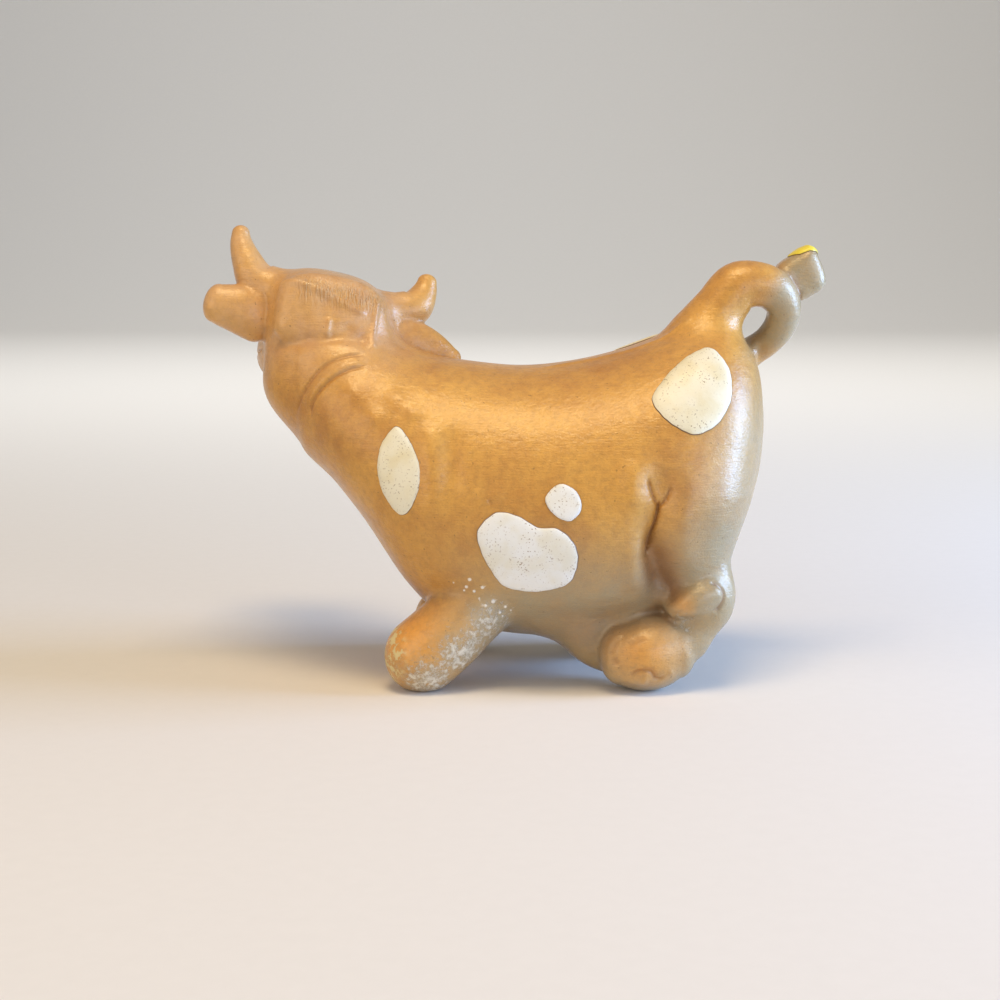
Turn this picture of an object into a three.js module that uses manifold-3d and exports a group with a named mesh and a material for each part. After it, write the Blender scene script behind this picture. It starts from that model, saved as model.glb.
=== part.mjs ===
// A small pepper shaker in the shape of a standing cow, in slip-painted earthenware.
//
// Units are millimetres, +Z is up. The cow stands along X with its chest towards -X, its rump
// towards +X and its left flank towards -Y. Its head is turned to its right, towards +Y, so the
// back of the head shows from the left flank. The body and the head are hollow castings, joined
// on one slanting seam. Horns, ears and tail are modelled apart and luted on. White slip patches
// stand a little proud of the clay. A cork in the belly closes the filling hole.

import * as THREE from 'three';
import { mergeVertices } from 'three/addons/utils/BufferGeometryUtils.js';
import Module from 'manifold-3d';

const wasm = await Module();
wasm.setup();

// Driving sizes of the body
const bodyLength = 88.1;
const bodyDepth = 51.2;
const bodyWidth = 51;
const bellyClearance = 7.5;
const chestX = -41.5;
const clayWall = 3.2;

// Legs: half thickness at the foot, how far each pair stands out from the middle, and how much
// further under the body the right legs stand than the left ones
const legGirth = 8;
const legSpread = 15.2;
const farStride = 2.5;

// Neck and head: how far the middle of the neck starts under the withers and ends above them
const neckGirth = 13;
const neckDrop = 16.896;
const neckRise = 5.632;
const seamLean = 40;
const headWidth = 24.5;
const headHeight = 19;
const headLength = 46;
const headYaw = 75;
const headRoll = -12;
const headPitch = -10;
const jowlGirth = 8;
const jowlDrop = 15;
const pepperHoleBore = 1.8;
const pepperHoleSpacing = 5;
const throatBore = 12.5;

// Horns and ears
const hornLength = 16.4;
const hornGirth = 7.4;
const earLength = 13;
const earWidth = 9;

// Tail
const tailThickness = 8.4;
const tailLoopWidth = 18;
const tailLoopHeight = 17;
const tuftLength = 10.5;
const tuftWidth = 9;

// Filling hole and cork
const fillHoleBore = 12;
const corkLength = 9;
const corkRecess = 0.4;
const corkTaper = 0.5;
const fillHoleX = 3;

// Slip patches
const slipThickness = 0.6;

// Clearances
const jointGap = 0.3;
const reach = 200;

const clay = { color: '#b97a45', roughness: 0.42, metalness: 0 };
const whiteSlip = { color: '#e8dfc4', roughness: 0.5, metalness: 0 };
const yellowSlip = { color: '#e3c23a', roughness: 0.45, metalness: 0 };
const cork = { color: '#a9794e', roughness: 0.9, metalness: 0 };

const shaker = new THREE.Group();

// A closed mesh becomes a solid that can be joined and cut.
function solidOf(geometry) {
  const bare = geometry.clone();
  for (const name of Object.keys(bare.attributes)) {
    if (name !== 'position') {
      bare.deleteAttribute(name);
    }
  }
  const merged = mergeVertices(bare, 1e-4);
  return new wasm.Manifold(new wasm.Mesh({
    numProp: 3,
    vertProperties: new Float32Array(merged.attributes.position.array),
    triVerts: new Uint32Array(merged.index.array),
  }));
}

function addPiece(name, solid, finish) {
  const data = solid.getMesh();
  const geometry = new THREE.BufferGeometry();
  geometry.setAttribute('position', new THREE.BufferAttribute(data.vertProperties, 3));
  geometry.setIndex(new THREE.BufferAttribute(data.triVerts, 1));
  geometry.computeVertexNormals();
  const mesh = new THREE.Mesh(geometry, new THREE.MeshStandardMaterial(finish));
  mesh.name = name;
  shaker.add(mesh);
  return mesh;
}

// Rings of points, from one pole to the other, become one closed mesh that faces outwards.
function skinOf(firstPole, rings, lastPole) {
  const sides = rings[0].length;
  const points = [firstPole, ...rings.flat(), lastPole];
  const last = points.length - 1;
  const faces = [];
  for (let side = 0; side < sides; side += 1) {
    const next = (side + 1) % sides;
    faces.push(0, 1 + next, 1 + side);
    for (let ring = 0; ring < rings.length - 1; ring += 1) {
      const low = 1 + ring * sides;
      const high = low + sides;
      faces.push(low + side, low + next, high + next, low + side, high + next, high + side);
    }
    const end = 1 + (rings.length - 1) * sides;
    faces.push(end + side, end + next, last);
  }
  const geometry = new THREE.BufferGeometry().setFromPoints(points);
  geometry.setIndex(faces);
  if (signedVolume(points, faces) < 0) {
    geometry.setIndex(faces.reverse());
  }
  return geometry;
}

function signedVolume(points, faces) {
  let volume = 0;
  for (let corner = 0; corner < faces.length; corner += 3) {
    const [a, b, c] = [0, 1, 2].map((step) => points[faces[corner + step]]);
    volume += a.dot(b.clone().cross(c)) / 6;
  }
  return volume;
}

// The same mesh with every point moved out along its normal, or in when the distance is negative.
function grown(geometry, distance) {
  const copy = geometry.clone();
  copy.computeVertexNormals();
  const position = copy.attributes.position;
  const normal = copy.attributes.normal;
  for (let index = 0; index < position.count; index += 1) {
    position.setXYZ(
      index,
      position.getX(index) + distance * normal.getX(index),
      position.getY(index) + distance * normal.getY(index),
      position.getZ(index) + distance * normal.getZ(index),
    );
  }
  return copy;
}

// A limb: an oval section carried along a smooth path, with a round end at both ends.
// stations: [x, y, z, half size along the reference direction, half size across it]
function limb(stations, reference, steps, sides) {
  const capSteps = 4;
  const path = new THREE.CatmullRomCurve3(stations.map(([x, y, z]) => new THREE.Vector3(x, y, z)));
  const sizes = new THREE.CatmullRomCurve3(
    stations.map(([, , , along, across]) => new THREE.Vector3(along, across, 0)),
    false,
    'catmullrom',
  );
  const length = path.getLength();
  const first = sizes.getPoint(0);
  const final = sizes.getPoint(1);
  const firstCap = Math.min(0.45, (first.x + first.y) / 2 / length);
  const finalCap = Math.min(0.45, (final.x + final.y) / 2 / length);
  const places = [];
  for (let step = 1; step <= capSteps; step += 1) {
    const turn = (step / capSteps) * (Math.PI / 2);
    places.push([firstCap * (1 - Math.cos(turn)), Math.sin(turn)]);
  }
  for (let step = 1; step < steps; step += 1) {
    places.push([firstCap + (step / steps) * (1 - firstCap - finalCap), 1]);
  }
  for (let step = capSteps; step >= 1; step -= 1) {
    const turn = (step / capSteps) * (Math.PI / 2);
    places.push([1 - finalCap * (1 - Math.cos(turn)), Math.sin(turn)]);
  }
  const rings = places.map(([share, swell]) => {
    const centre = path.getPointAt(share);
    const tangent = path.getTangentAt(share);
    const size = sizes.getPoint(path.getUtoTmapping(share));
    const along = reference.clone().addScaledVector(tangent, -reference.dot(tangent)).normalize();
    const across = tangent.clone().cross(along);
    return Array.from({ length: sides }, (unused, side) => {
      const angle = (side / sides) * 2 * Math.PI;
      return centre.clone()
        .addScaledVector(along, swell * size.x * Math.cos(angle))
        .addScaledVector(across, swell * size.y * Math.sin(angle));
    });
  });
  return skinOf(path.getPointAt(0), rings, path.getPointAt(1));
}

// The trunk of the cow
// Each station: place along the body, underside and back as shares of the depth, and width as a
// share of the full width. The back dips behind the withers and rises to the rump.
const trunkStations = [
  [0.010, 0.80, 0.97, 0.16],
  [0.030, 0.70, 1.02, 0.34],
  [0.085, 0.56, 1.05, 0.57],
  [0.153, 0.385, 1.055, 0.71],
  [0.244, 0.185, 1.045, 0.84],
  [0.335, 0.055, 1.02, 0.92],
  [0.471, 0.002, 0.995, 0.97],
  [0.585, -0.002, 1.01, 1.0],
  [0.700, 0.012, 1.055, 0.995],
  [0.810, 0.085, 1.12, 0.94],
  [0.900, 0.235, 1.145, 0.80],
  [0.955, 0.41, 1.09, 0.60],
  [0.985, 0.56, 1.0, 0.36],
  [0.997, 0.67, 0.90, 0.16],
];
const withersShare = trunkStations[2][2];
const flankHeight = 0.47;
const trunkPole = 0.885;
const rumpPole = 0.785;

function heightOf(share) {
  return bellyClearance + share * bodyDepth;
}

const trunkSides = new THREE.CatmullRomCurve3(
  trunkStations.map(([along, low, high]) => new THREE.Vector3(along, low, high)), false, 'catmullrom');
const trunkWidths = new THREE.CatmullRomCurve3(
  trunkStations.map(([, , , width]) => new THREE.Vector3(width, 0, 0)), false, 'catmullrom');

function trunkSection(turn) {
  const side = trunkSides.getPoint(turn);
  const low = heightOf(side.y);
  const high = heightOf(side.z);
  return {
    x: chestX + side.x * bodyLength,
    low,
    high,
    flank: low + flankHeight * (high - low),
    halfWidth: (trunkWidths.getPoint(turn).x * bodyWidth) / 2,
  };
}

function trunkSkin(ringCount, sides) {
  const rings = Array.from({ length: ringCount }, (unused, ring) => {
    const section = trunkSection(ring / (ringCount - 1));
    return Array.from({ length: sides }, (ignored, side) => {
      const angle = (side / sides) * 2 * Math.PI;
      const rise = Math.sin(angle);
      const halfHeight = rise > 0 ? section.high - section.flank : section.flank - section.low;
      return new THREE.Vector3(
        section.x,
        section.halfWidth * Math.cos(angle),
        section.flank + halfHeight * rise,
      );
    });
  });
  return skinOf(
    new THREE.Vector3(chestX, 0, heightOf(trunkPole)),
    rings,
    new THREE.Vector3(chestX + bodyLength, 0, heightOf(rumpPole)),
  );
}

const alongY = new THREE.Vector3(0, 1, 0);
const trunk = trunkSkin(34, 30);
const trunkSolid = solidOf(trunk);
const trunkHollow = solidOf(grown(trunkSkin(22, 22), -clayWall));
const trunkClear = solidOf(grown(trunk, jointGap));

// Neck, and the slanting seam where the head casting is joined on
const withers = heightOf(withersShare);
const neckFoot = new THREE.Vector3(chestX + 0.26 * bodyLength, 1, withers - neckDrop);
const neckTop = new THREE.Vector3(chestX + 0.035 * bodyLength, 3, withers + neckRise);
const neckMiddle = neckFoot.clone().lerp(neckTop, 0.5);
const neckStations = [
  [neckFoot.x, neckFoot.y, neckFoot.z, 1.1 * neckGirth, 1.18 * neckGirth],
  [neckMiddle.x, neckMiddle.y, neckMiddle.z, neckGirth, 1.1 * neckGirth],
  [neckTop.x, neckTop.y, neckTop.z, 0.88 * neckGirth, 0.95 * neckGirth],
];
const neck = limb(neckStations, alongY, 5, 24);
const seamCentre = neckFoot.clone().lerp(neckTop, 0.56);

// Everything on one side of the seam, as a large block that starts half the gap before the seam.
function blockBesideSeam(side) {
  const block = new THREE.BoxGeometry(reach, reach, reach);
  block.translate(0, 0, side * (reach / 2 - jointGap / 2));
  block.rotateY(THREE.MathUtils.degToRad(-seamLean));
  block.translate(seamCentre.x, seamCentre.y, seamCentre.z);
  return solidOf(block);
}
const aboveSeam = blockBesideSeam(1);
const belowSeam = blockBesideSeam(-1);

// The head has a frame of its own: forward to the muzzle, left to the left horn, up to the crown.
const headCentre = neckTop.clone().add(new THREE.Vector3(2.2, 2.5, 0.3));
const headFrame = new THREE.Matrix4().makeRotationZ(THREE.MathUtils.degToRad(180 - headYaw))
  .multiply(new THREE.Matrix4().makeRotationY(THREE.MathUtils.degToRad(-headPitch)))
  .multiply(new THREE.Matrix4().makeRotationX(THREE.MathUtils.degToRad(-headRoll)))
  .setPosition(headCentre);

function inHead(forward, left, up) {
  return new THREE.Vector3(forward, left, up).applyMatrix4(headFrame);
}

function headDirection(forward, left, up) {
  return new THREE.Vector3(forward, left, up).transformDirection(headFrame);
}

// Stations given in the head's frame, with the half sizes as in limb()
function limbOnHead(stations, reference, steps, sides) {
  const placed = stations.map(([forward, left, up, along, across]) => {
    const point = inHead(forward, left, up);
    return [point.x, point.y, point.z, along, across];
  });
  return limb(placed, reference, steps, sides);
}

const crown = headDirection(0, 0, 1);
const halfHead = headHeight / 2;
const skullStations = [
  [-0.24 * headLength, 0, 0, 0.92 * halfHead, 0.46 * headWidth],
  [-0.06 * headLength, 0, 0, halfHead, 0.5 * headWidth],
  [0.18 * headLength, 0, -0.5, 0.96 * halfHead, 0.47 * headWidth],
  [0.42 * headLength, 0, -1.5, 0.80 * halfHead, 0.34 * headWidth],
  [0.64 * headLength, 0, -2.5, 0.82 * halfHead, 0.41 * headWidth],
  [0.78 * headLength, 0, -3.5, 0.70 * halfHead, 0.38 * headWidth],
];
const skull = limbOnHead(skullStations, crown, 10, 26);

// The hollow of the head follows its outside at wall thickness, as far forward as the brow.
const hollowStations = skullStations.slice(0, 4).map(([forward, left, up, along, across]) => [
  forward + (forward < 0 ? clayWall : 0), left, up, along - clayWall, across - clayWall]);
const headHollow = limbOnHead(hollowStations, crown, 5, 18);

// The throat is a slanting bore from the hollow of the body, through the seam, into the head.
const throatStart = neckFoot.clone().lerp(neckTop, 0.1);
const throatEnd = headCentre.clone().lerp(neckTop, 0.4);
const throatMiddle = throatStart.clone().lerp(throatEnd, 0.5);
const throat = solidOf(limb(
  [throatStart, throatMiddle, throatEnd].map((point) => [
    point.x, point.y, point.z, throatBore / 2, throatBore / 2]),
  alongY, 4, 16));

// Body casting: trunk, neck root and four legs, hollow, with its filling hole
// Each leg station: place along the body, place out from the middle as a share of the spread,
// height, thickness and width as shares of the foot's half thickness
function legPair(stations, stride) {
  return [-1, 1].map((side) => solidOf(limb(
    stations.map(([along, spread, height, thick, wide]) => [
      chestX + along * bodyLength + (side > 0 ? stride : 0),
      side * spread * legSpread,
      height,
      thick * legGirth,
      wide * legGirth,
    ]),
    alongY, 6, 18)));
}
const frontLegs = legPair([
  [0.405, 0.72, heightOf(0.34), 1.0, 1.3],
  [0.355, 0.90, heightOf(0.16), 0.92, 1.15],
  [0.288, 1.0, 0.96 * legGirth, 0.95, 1.02],
  [0.230, 1.02, 0.10 * legGirth, 0.85, 0.85],
], farStride);
const rearLegs = legPair([
  [0.815, 0.80, heightOf(0.50), 1.15, 1.4],
  [0.852, 0.94, heightOf(0.25), 0.84, 0.92],
  [0.806, 1.02, 1.42 * legGirth, 0.80, 0.82],
  [0.730, 1.04, 0.77 * legGirth, 0.86, 0.90],
  [0.600, 0.96, 0.98 * legGirth, 0.72, 0.62],
], -farStride);
const underTable = new THREE.BoxGeometry(reach, reach, reach);
underTable.translate(0, 0, -reach / 2);

const fillHole = new THREE.CylinderGeometry(fillHoleBore / 2, fillHoleBore / 2, 0.5 * bodyDepth, 32);
fillHole.rotateX(Math.PI / 2);
fillHole.translate(fillHoleX, 0, bellyClearance);

const bodyOutside = [...frontLegs, ...rearLegs].reduce(
  (whole, leg) => whole.add(leg), trunkSolid.add(solidOf(neck)))
  .subtract(aboveSeam)
  .subtract(solidOf(underTable));
const bodySolid = [trunkHollow, throat, solidOf(fillHole)].reduce(
  (whole, space) => whole.subtract(space), bodyOutside);
addPiece('body_casting', bodySolid, clay);

// Head casting: the top of the neck, the skull and the muzzle, with three shaking holes
const pepperHoles = [-1, 0, 1].map((place) => {
  const bore = new THREE.CylinderGeometry(pepperHoleBore / 2, pepperHoleBore / 2, headHeight, 16);
  bore.rotateX(Math.PI / 2);
  bore.translate(-0.04 * headLength, place * pepperHoleSpacing, headHeight / 2);
  bore.applyMatrix4(headFrame);
  return solidOf(bore);
});

// The jowl hangs under the head, on the chest side of the neck.
// Each station: place towards the chest, place down and thickness
const jowl = limb([
  [0.56, 0.27, 0.97],
  [0.66, 0.80, 1.01],
  [0.36, 1.27, 0.80],
].map(([out, down, thick]) => [
  headCentre.x - out * jowlGirth,
  neckTop.y - 0.5,
  headCentre.z - down * jowlDrop,
  thick * jowlGirth,
  0.95 * thick * jowlGirth,
]), alongY, 5, 18);
const headOutside = solidOf(neck).add(solidOf(skull)).add(solidOf(jowl)).subtract(belowSeam);
const headSolid = [solidOf(headHollow), throat, ...pepperHoles].reduce(
  (whole, space) => whole.subtract(space), headOutside);
addPiece('head_casting', headSolid, clay);

// Horns and ears, luted to the sides of the skull
const headClear = solidOf(grown(skull, jointGap));
const neckClear = solidOf(grown(neck, jointGap));
const facing = headDirection(1, 0, 0);

function hornSkin(side, lift) {
  const root = 0.34 * headWidth;
  const base = 0.13 * headHeight;
  const thick = hornGirth / 2;
  return limbOnHead([
    [0, side * root, base, thick, 1.1 * thick],
    [-0.5, side * (root + 0.12 * hornLength), base + 0.03 * lift * hornLength, thick, 1.06 * thick],
    [-0.5, side * (root + 0.33 * hornLength), base + 0.10 * lift * hornLength, 0.9 * thick, 0.92 * thick],
    [-0.5, side * (root + 0.50 * hornLength), base + 0.28 * lift * hornLength, 0.68 * thick, 0.70 * thick],
    [0, side * (root + 0.64 * hornLength), base + 0.53 * lift * hornLength, 0.44 * thick, 0.44 * thick],
    [0, side * (root + 0.69 * hornLength), base + 0.72 * lift * hornLength, 0.26 * thick, 0.26 * thick],
  ], facing, 9, 16);
}
const horns = { left: hornSkin(1, 1), right: hornSkin(-1, 0.78) };
for (const [side, horn] of Object.entries(horns)) {
  addPiece(`horn_${side}`, solidOf(horn).subtract(headClear).subtract(neckClear), clay);
}

function earSkin(side) {
  const root = 0.40 * headWidth;
  return limbOnHead([
    [-1, side * root, -0.17 * headHeight, 0.32 * earWidth, 0.54 * earWidth],
    [-1.5, side * (root + 0.42 * earLength), -0.13 * headHeight, 0.36 * earWidth, 0.5 * earWidth],
    [-1.5, side * (root + 0.74 * earLength), -0.10 * headHeight, 0.34 * earWidth, 0.43 * earWidth],
    [-1.5, side * (root + earLength), -0.09 * headHeight, 0.24 * earWidth, 0.31 * earWidth],
  ], facing, 6, 16);
}
const ears = { left: earSkin(1), right: earSkin(-1) };
for (const [side, ear] of Object.entries(ears)) {
  const besideHorn = solidOf(grown(horns[side], jointGap));
  const cut = [headClear, neckClear, trunkClear, besideHorn].reduce(
    (whole, neighbour) => whole.subtract(neighbour), solidOf(ear));
  addPiece(`ear_${side}`, cut, clay);
}

// Tail: rises from the rump, curls over and comes back to the rump behind, with a tuft
// Each tail station: place over as a share of the loop's width, place behind, place up as a share
// of its height, and thickness
const tailRootX = chestX + 0.87 * bodyLength;
const tailRootZ = heightOf(1.06);
const tailHalf = tailThickness / 2;
const tail = limb([
  [-0.26, 0.0, -0.16, 1.7],
  [-0.04, 0.0, 0.17, 1.5],
  [0.17, 0.0, 0.48, 1.33],
  [0.43, 0.0, 0.69, 1.1],
  [0.70, 0.5, 0.75, 0.96],
  [0.88, 1.5, 0.63, 0.78],
  [0.90, 2.5, 0.38, 0.68],
  [0.79, 4.5, 0.17, 0.58],
  [0.61, 7.0, -0.03, 0.5],
  [0.38, 9.0, -0.20, 0.5],
].map(([over, across, up, thick]) => [
  tailRootX + over * tailLoopWidth,
  across,
  tailRootZ + up * tailLoopHeight,
  thick * tailHalf,
  thick * tailHalf,
]), alongY, 22, 16);
const tailClear = solidOf(grown(tail, jointGap));
addPiece('tail_loop', solidOf(tail).subtract(trunkClear), clay);

const tuftX = tailRootX + 0.845 * tailLoopWidth;
const tuftZ = tailRootZ + 0.64 * tailLoopHeight;
const tuftBehind = 6.2;
// Each tuft station: place outwards and up as shares of the length, place further behind, and
// half sizes as shares of the width
const tuft = limb([
  [0, 0, 0, 0.26, 0.28],
  [0.40, 0.25, 0.4, 0.38, 0.42],
  [0.93, 0.40, 0, 0.40, 0.50],
].map(([over, up, behind, deep, wide]) => [
  tuftX + over * tuftLength,
  tuftBehind + behind,
  tuftZ + up * tuftLength,
  deep * tuftWidth,
  wide * tuftWidth,
]), alongY, 6, 16);
addPiece('tail_tuft', solidOf(tuft).subtract(tailClear), clay);

// Cork in the filling hole
const corkWide = fillHoleBore / 2 - jointGap;
const corkFoot = bellyClearance + corkRecess;
const corkEdge = 0.5;
const corkShape = new THREE.LatheGeometry([
  new THREE.Vector2(0, corkFoot),
  new THREE.Vector2(corkWide - corkEdge, corkFoot),
  new THREE.Vector2(corkWide, corkFoot + corkEdge),
  new THREE.Vector2(corkWide - corkTaper, corkFoot + corkLength - corkEdge),
  new THREE.Vector2(corkWide - corkTaper - corkEdge, corkFoot + corkLength),
  new THREE.Vector2(0, corkFoot + corkLength),
], 32);
corkShape.rotateX(Math.PI / 2);
corkShape.translate(fillHoleX, 0, 0);
addPiece('cork_stopper', solidOf(corkShape), cork);

// Slip patches: the part of a thin layer over the clay that lies inside an outline
function outlineShape(points) {
  const curve = new THREE.SplineCurve([...points, points[0]].map(([x, y]) => new THREE.Vector2(x, y)));
  const shape = new THREE.Shape();
  shape.setFromPoints(curve.getPoints(4 * points.length).slice(0, -1));
  return shape;
}

function patchPrism(points, view) {
  const prism = new THREE.ExtrudeGeometry(outlineShape(points), { depth: reach / 2, bevelEnabled: false });
  if (view === 'left flank') {
    prism.rotateX(Math.PI / 2);
  } else if (view === 'right flank') {
    prism.rotateX(Math.PI / 2);
    prism.translate(0, reach / 2, 0);
  } else {
    prism.translate(0, 0, heightOf(flankHeight));
  }
  return solidOf(prism);
}

const slipLayer = solidOf(grown(trunk, jointGap + slipThickness)).subtract(trunkClear).subtract(tailClear);

// Outlines in millimetres round a centre given as shares of the body's length and depth
function flankOutline(along, height, points) {
  return points.map(([x, z]) => [chestX + along * bodyLength + x, heightOf(height) + z]);
}

function backOutline(along, across, points) {
  return points.map(([x, y]) => [chestX + along * bodyLength + x, across + y]);
}

const patches = {
  slip_patch_shoulder: ['left flank', flankOutline(0.235, 0.645, [
    [-0.4, 8.2], [-3.0, 5.5], [-3.9, 0.5], [-2.4, -4.6], [0.6, -7.6], [3.2, -4.0], [3.8, 1.0], [2.0, 5.6]])],
  slip_patch_belly: ['left flank', flankOutline(0.490, 0.375, [
    [-8.6, 3.6], [-5.6, 7.2], [-1.6, 6.9], [2.2, 4.8], [5.6, 4.6], [9.0, 1.2],
    [8.2, -4.4], [3.6, -7.0], [-2.0, -6.8], [-6.2, -2.9]])],
  slip_patch_dot: ['left flank', flankOutline(0.565, 0.555, [
    [-3.2, 0.6], [-0.6, 3.2], [2.4, 1.8], [3.2, -1.2], [1.2, -3.3], [-1.6, -2.2]])],
  slip_patch_rump: ['left flank', flankOutline(0.830, 0.925, [
    [-7.4, -1.6], [-4.6, 2.6], [-0.4, 6.0], [3.6, 7.4], [6.4, 4.6], [7.0, -0.6],
    [4.4, -5.4], [0.2, -7.4], [-4.6, -5.2]])],
  slip_patch_back: ['back', backOutline(0.745, 7.5, [
    [-6.4, 0.5], [-3.2, -4.4], [2.4, -4.6], [6.2, -1.0], [4.6, 4.0], [-1.6, 5.0]])],
  slip_patch_far_ribs: ['right flank', flankOutline(0.430, 0.50, [
    [-9.0, 2.0], [-5.0, 7.0], [1.4, 6.2], [6.6, 7.4], [9.2, 1.2], [5.0, -5.6], [-3.4, -6.8]])],
  slip_patch_far_rump: ['right flank', flankOutline(0.790, 0.62, [
    [-6.2, -1.0], [-3.4, 5.0], [2.6, 5.8], [6.0, 0.8], [3.4, -5.2], [-2.4, -5.6]])],
  slip_patch_far_dot: ['right flank', flankOutline(0.625, 0.30, [
    [-3.0, -0.4], [-1.4, 2.8], [1.8, 2.6], [3.0, -0.4], [1.0, -3.0], [-1.6, -2.6]])],
};
for (const [name, [view, points]] of Object.entries(patches)) {
  addPiece(name, slipLayer.intersect(patchPrism(points, view)), whiteSlip);
}

// Yellow slip on top of the tuft
const tuftLayer = solidOf(grown(tuft, jointGap + slipThickness)).subtract(solidOf(grown(tuft, jointGap)));
const tuftTop = new THREE.SphereGeometry(0.36 * tuftLength, 18, 12);
tuftTop.translate(tuftX + 0.62 * tuftLength, tuftBehind, tuftZ + 0.86 * tuftLength);
addPiece('slip_patch_tuft', tuftLayer.intersect(solidOf(tuftTop)), yellowSlip);

// The origin is the middle of the shaker's box, on the table.
const box = new THREE.Box3().setFromObject(shaker);
const middle = box.getCenter(new THREE.Vector3());
shaker.position.set(-middle.x, -middle.y, -box.min.z);

export default shaker;
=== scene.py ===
"""A cow-shaped pepper shaker of slip-painted earthenware, standing on a pale studio floor.

The cow is cast in two halves, body and head, with horns, ears and tail luted on while the clay
is soft. The luted joints are smoothed over, so the outside is one flowing skin. That skin is
the zero surface of a distance field: every limb is an oval carried along a path, the trunk is a
stack of ovals, and neighbours melt into each other over a stated radius. The skin is then cut
into its real pieces along their joints. Slip patches, cork and studio are grids of their own.
"""

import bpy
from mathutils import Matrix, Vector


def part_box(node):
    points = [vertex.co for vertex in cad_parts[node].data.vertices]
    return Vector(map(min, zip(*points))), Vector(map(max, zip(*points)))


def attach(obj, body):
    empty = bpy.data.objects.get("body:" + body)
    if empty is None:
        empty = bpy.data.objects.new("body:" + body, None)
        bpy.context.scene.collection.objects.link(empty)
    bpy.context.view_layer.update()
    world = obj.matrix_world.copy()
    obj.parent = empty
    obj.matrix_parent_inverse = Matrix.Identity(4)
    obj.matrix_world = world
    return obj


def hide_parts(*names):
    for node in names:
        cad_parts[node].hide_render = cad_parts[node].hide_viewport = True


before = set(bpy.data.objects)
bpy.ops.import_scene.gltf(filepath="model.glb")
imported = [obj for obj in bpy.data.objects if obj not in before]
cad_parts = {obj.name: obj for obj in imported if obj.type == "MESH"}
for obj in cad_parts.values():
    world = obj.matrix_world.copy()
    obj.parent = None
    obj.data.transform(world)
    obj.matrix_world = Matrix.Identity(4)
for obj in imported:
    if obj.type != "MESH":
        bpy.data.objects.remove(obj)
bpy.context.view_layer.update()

import logging
import math
from dataclasses import dataclass, field
from enum import Enum
from typing import Callable

import bpy
import numpy as np
from mathutils import Vector

log = logging.getLogger("cow_shaker")

Array = np.ndarray
MM = 0.001
# Bands that Blender's wave pattern draws over one unit at scale 1
WAVES_PER_UNIT = 20.0 / (2.0 * np.pi)
# Distances beyond this aren't worked out; all sizes below are in the cow's millimetres
FAR = 9.0
# How far the fillets reach where pieces melt into each other, and at a cut edge
NECK_MELT = 7.0
HEAD_MELT = 5.0
TAIL_MELT = 4.0
HORN_MELT = 3.4
TUFT_MELT = 1.8
EAR_MELT = 0.9
CUT_EDGE = 0.6
# How far the two castings' lattices run past the seam before they are cut
SEAM_OVERLAP = 2.5
# In the head's frame: the row of shaking holes, the mouth's corner and its depth
PEPPER_ROW = -1.84
MOUTH_CORNER = 25.0
MOUTH_DEPTH = 0.55
# How deep a slip patch is bedded in the clay, and how high a splash stands
SLIP_BED = -0.45
SPLASH_RISE = 0.12
REAR_FEET = ((23.5, -21.0), (21.0, 21.0))


class Side(Enum):
    """The two flanks of the cow: the left one looks at the camera."""

    LEFT = -1
    RIGHT = 1


class View(Enum):
    """The direction from which a slip patch is laid on the clay."""

    LEFT_FLANK = (0.0, -1.0, 0.0)
    RIGHT_FLANK = (0.0, 1.0, 0.0)
    BACK = (0.0, 0.0, 1.0)


class Slip(Enum):
    """The slip of a patch: white; white with a cream tone and painted warm light, as on the upward patches;
    or yellow.
    """

    WHITE = "laid_white_slip"
    YELLOWED = "cream_warm_lit_white_slip"
    YELLOW = "laid_yellow_slip"


# Number helpers


def smoothstep(low: float, high: float, value: Array) -> Array:
    """Ease from 0 at low to 1 at high: t squared times (3 - 2t).

    Args:
        low: where the ease starts.
        high: where it ends.
        value: the numbers to ease.

    Returns:
        An array of shares between 0 and 1.
    """
    share = np.clip((value - low) / (high - low), 0.0, 1.0)
    return share * share * (3.0 - 2.0 * share)


def smooth_union(one: Array, other: Array, radius: float) -> Array:
    """The lesser of two distances, melted together where they differ by less than the radius.

    In words: the minimum, less a quarter of the radius times the squared share of overlap.

    Args:
        one: distances to the first solid, in millimetres.
        other: distances to the second solid.
        radius: how far the fillet reaches.

    Returns:
        Distances to the joined solid.
    """
    overlap = np.clip(1.0 - np.abs(one - other) / radius, 0.0, None)
    return np.minimum(one, other) - 0.25 * radius * overlap * overlap


def smooth_cut(solid: Array, space: Array, radius: float) -> Array:
    """The solid with a space taken out, the cut's edge rounded over the radius."""
    return -smooth_union(-solid, space, radius)


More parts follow.
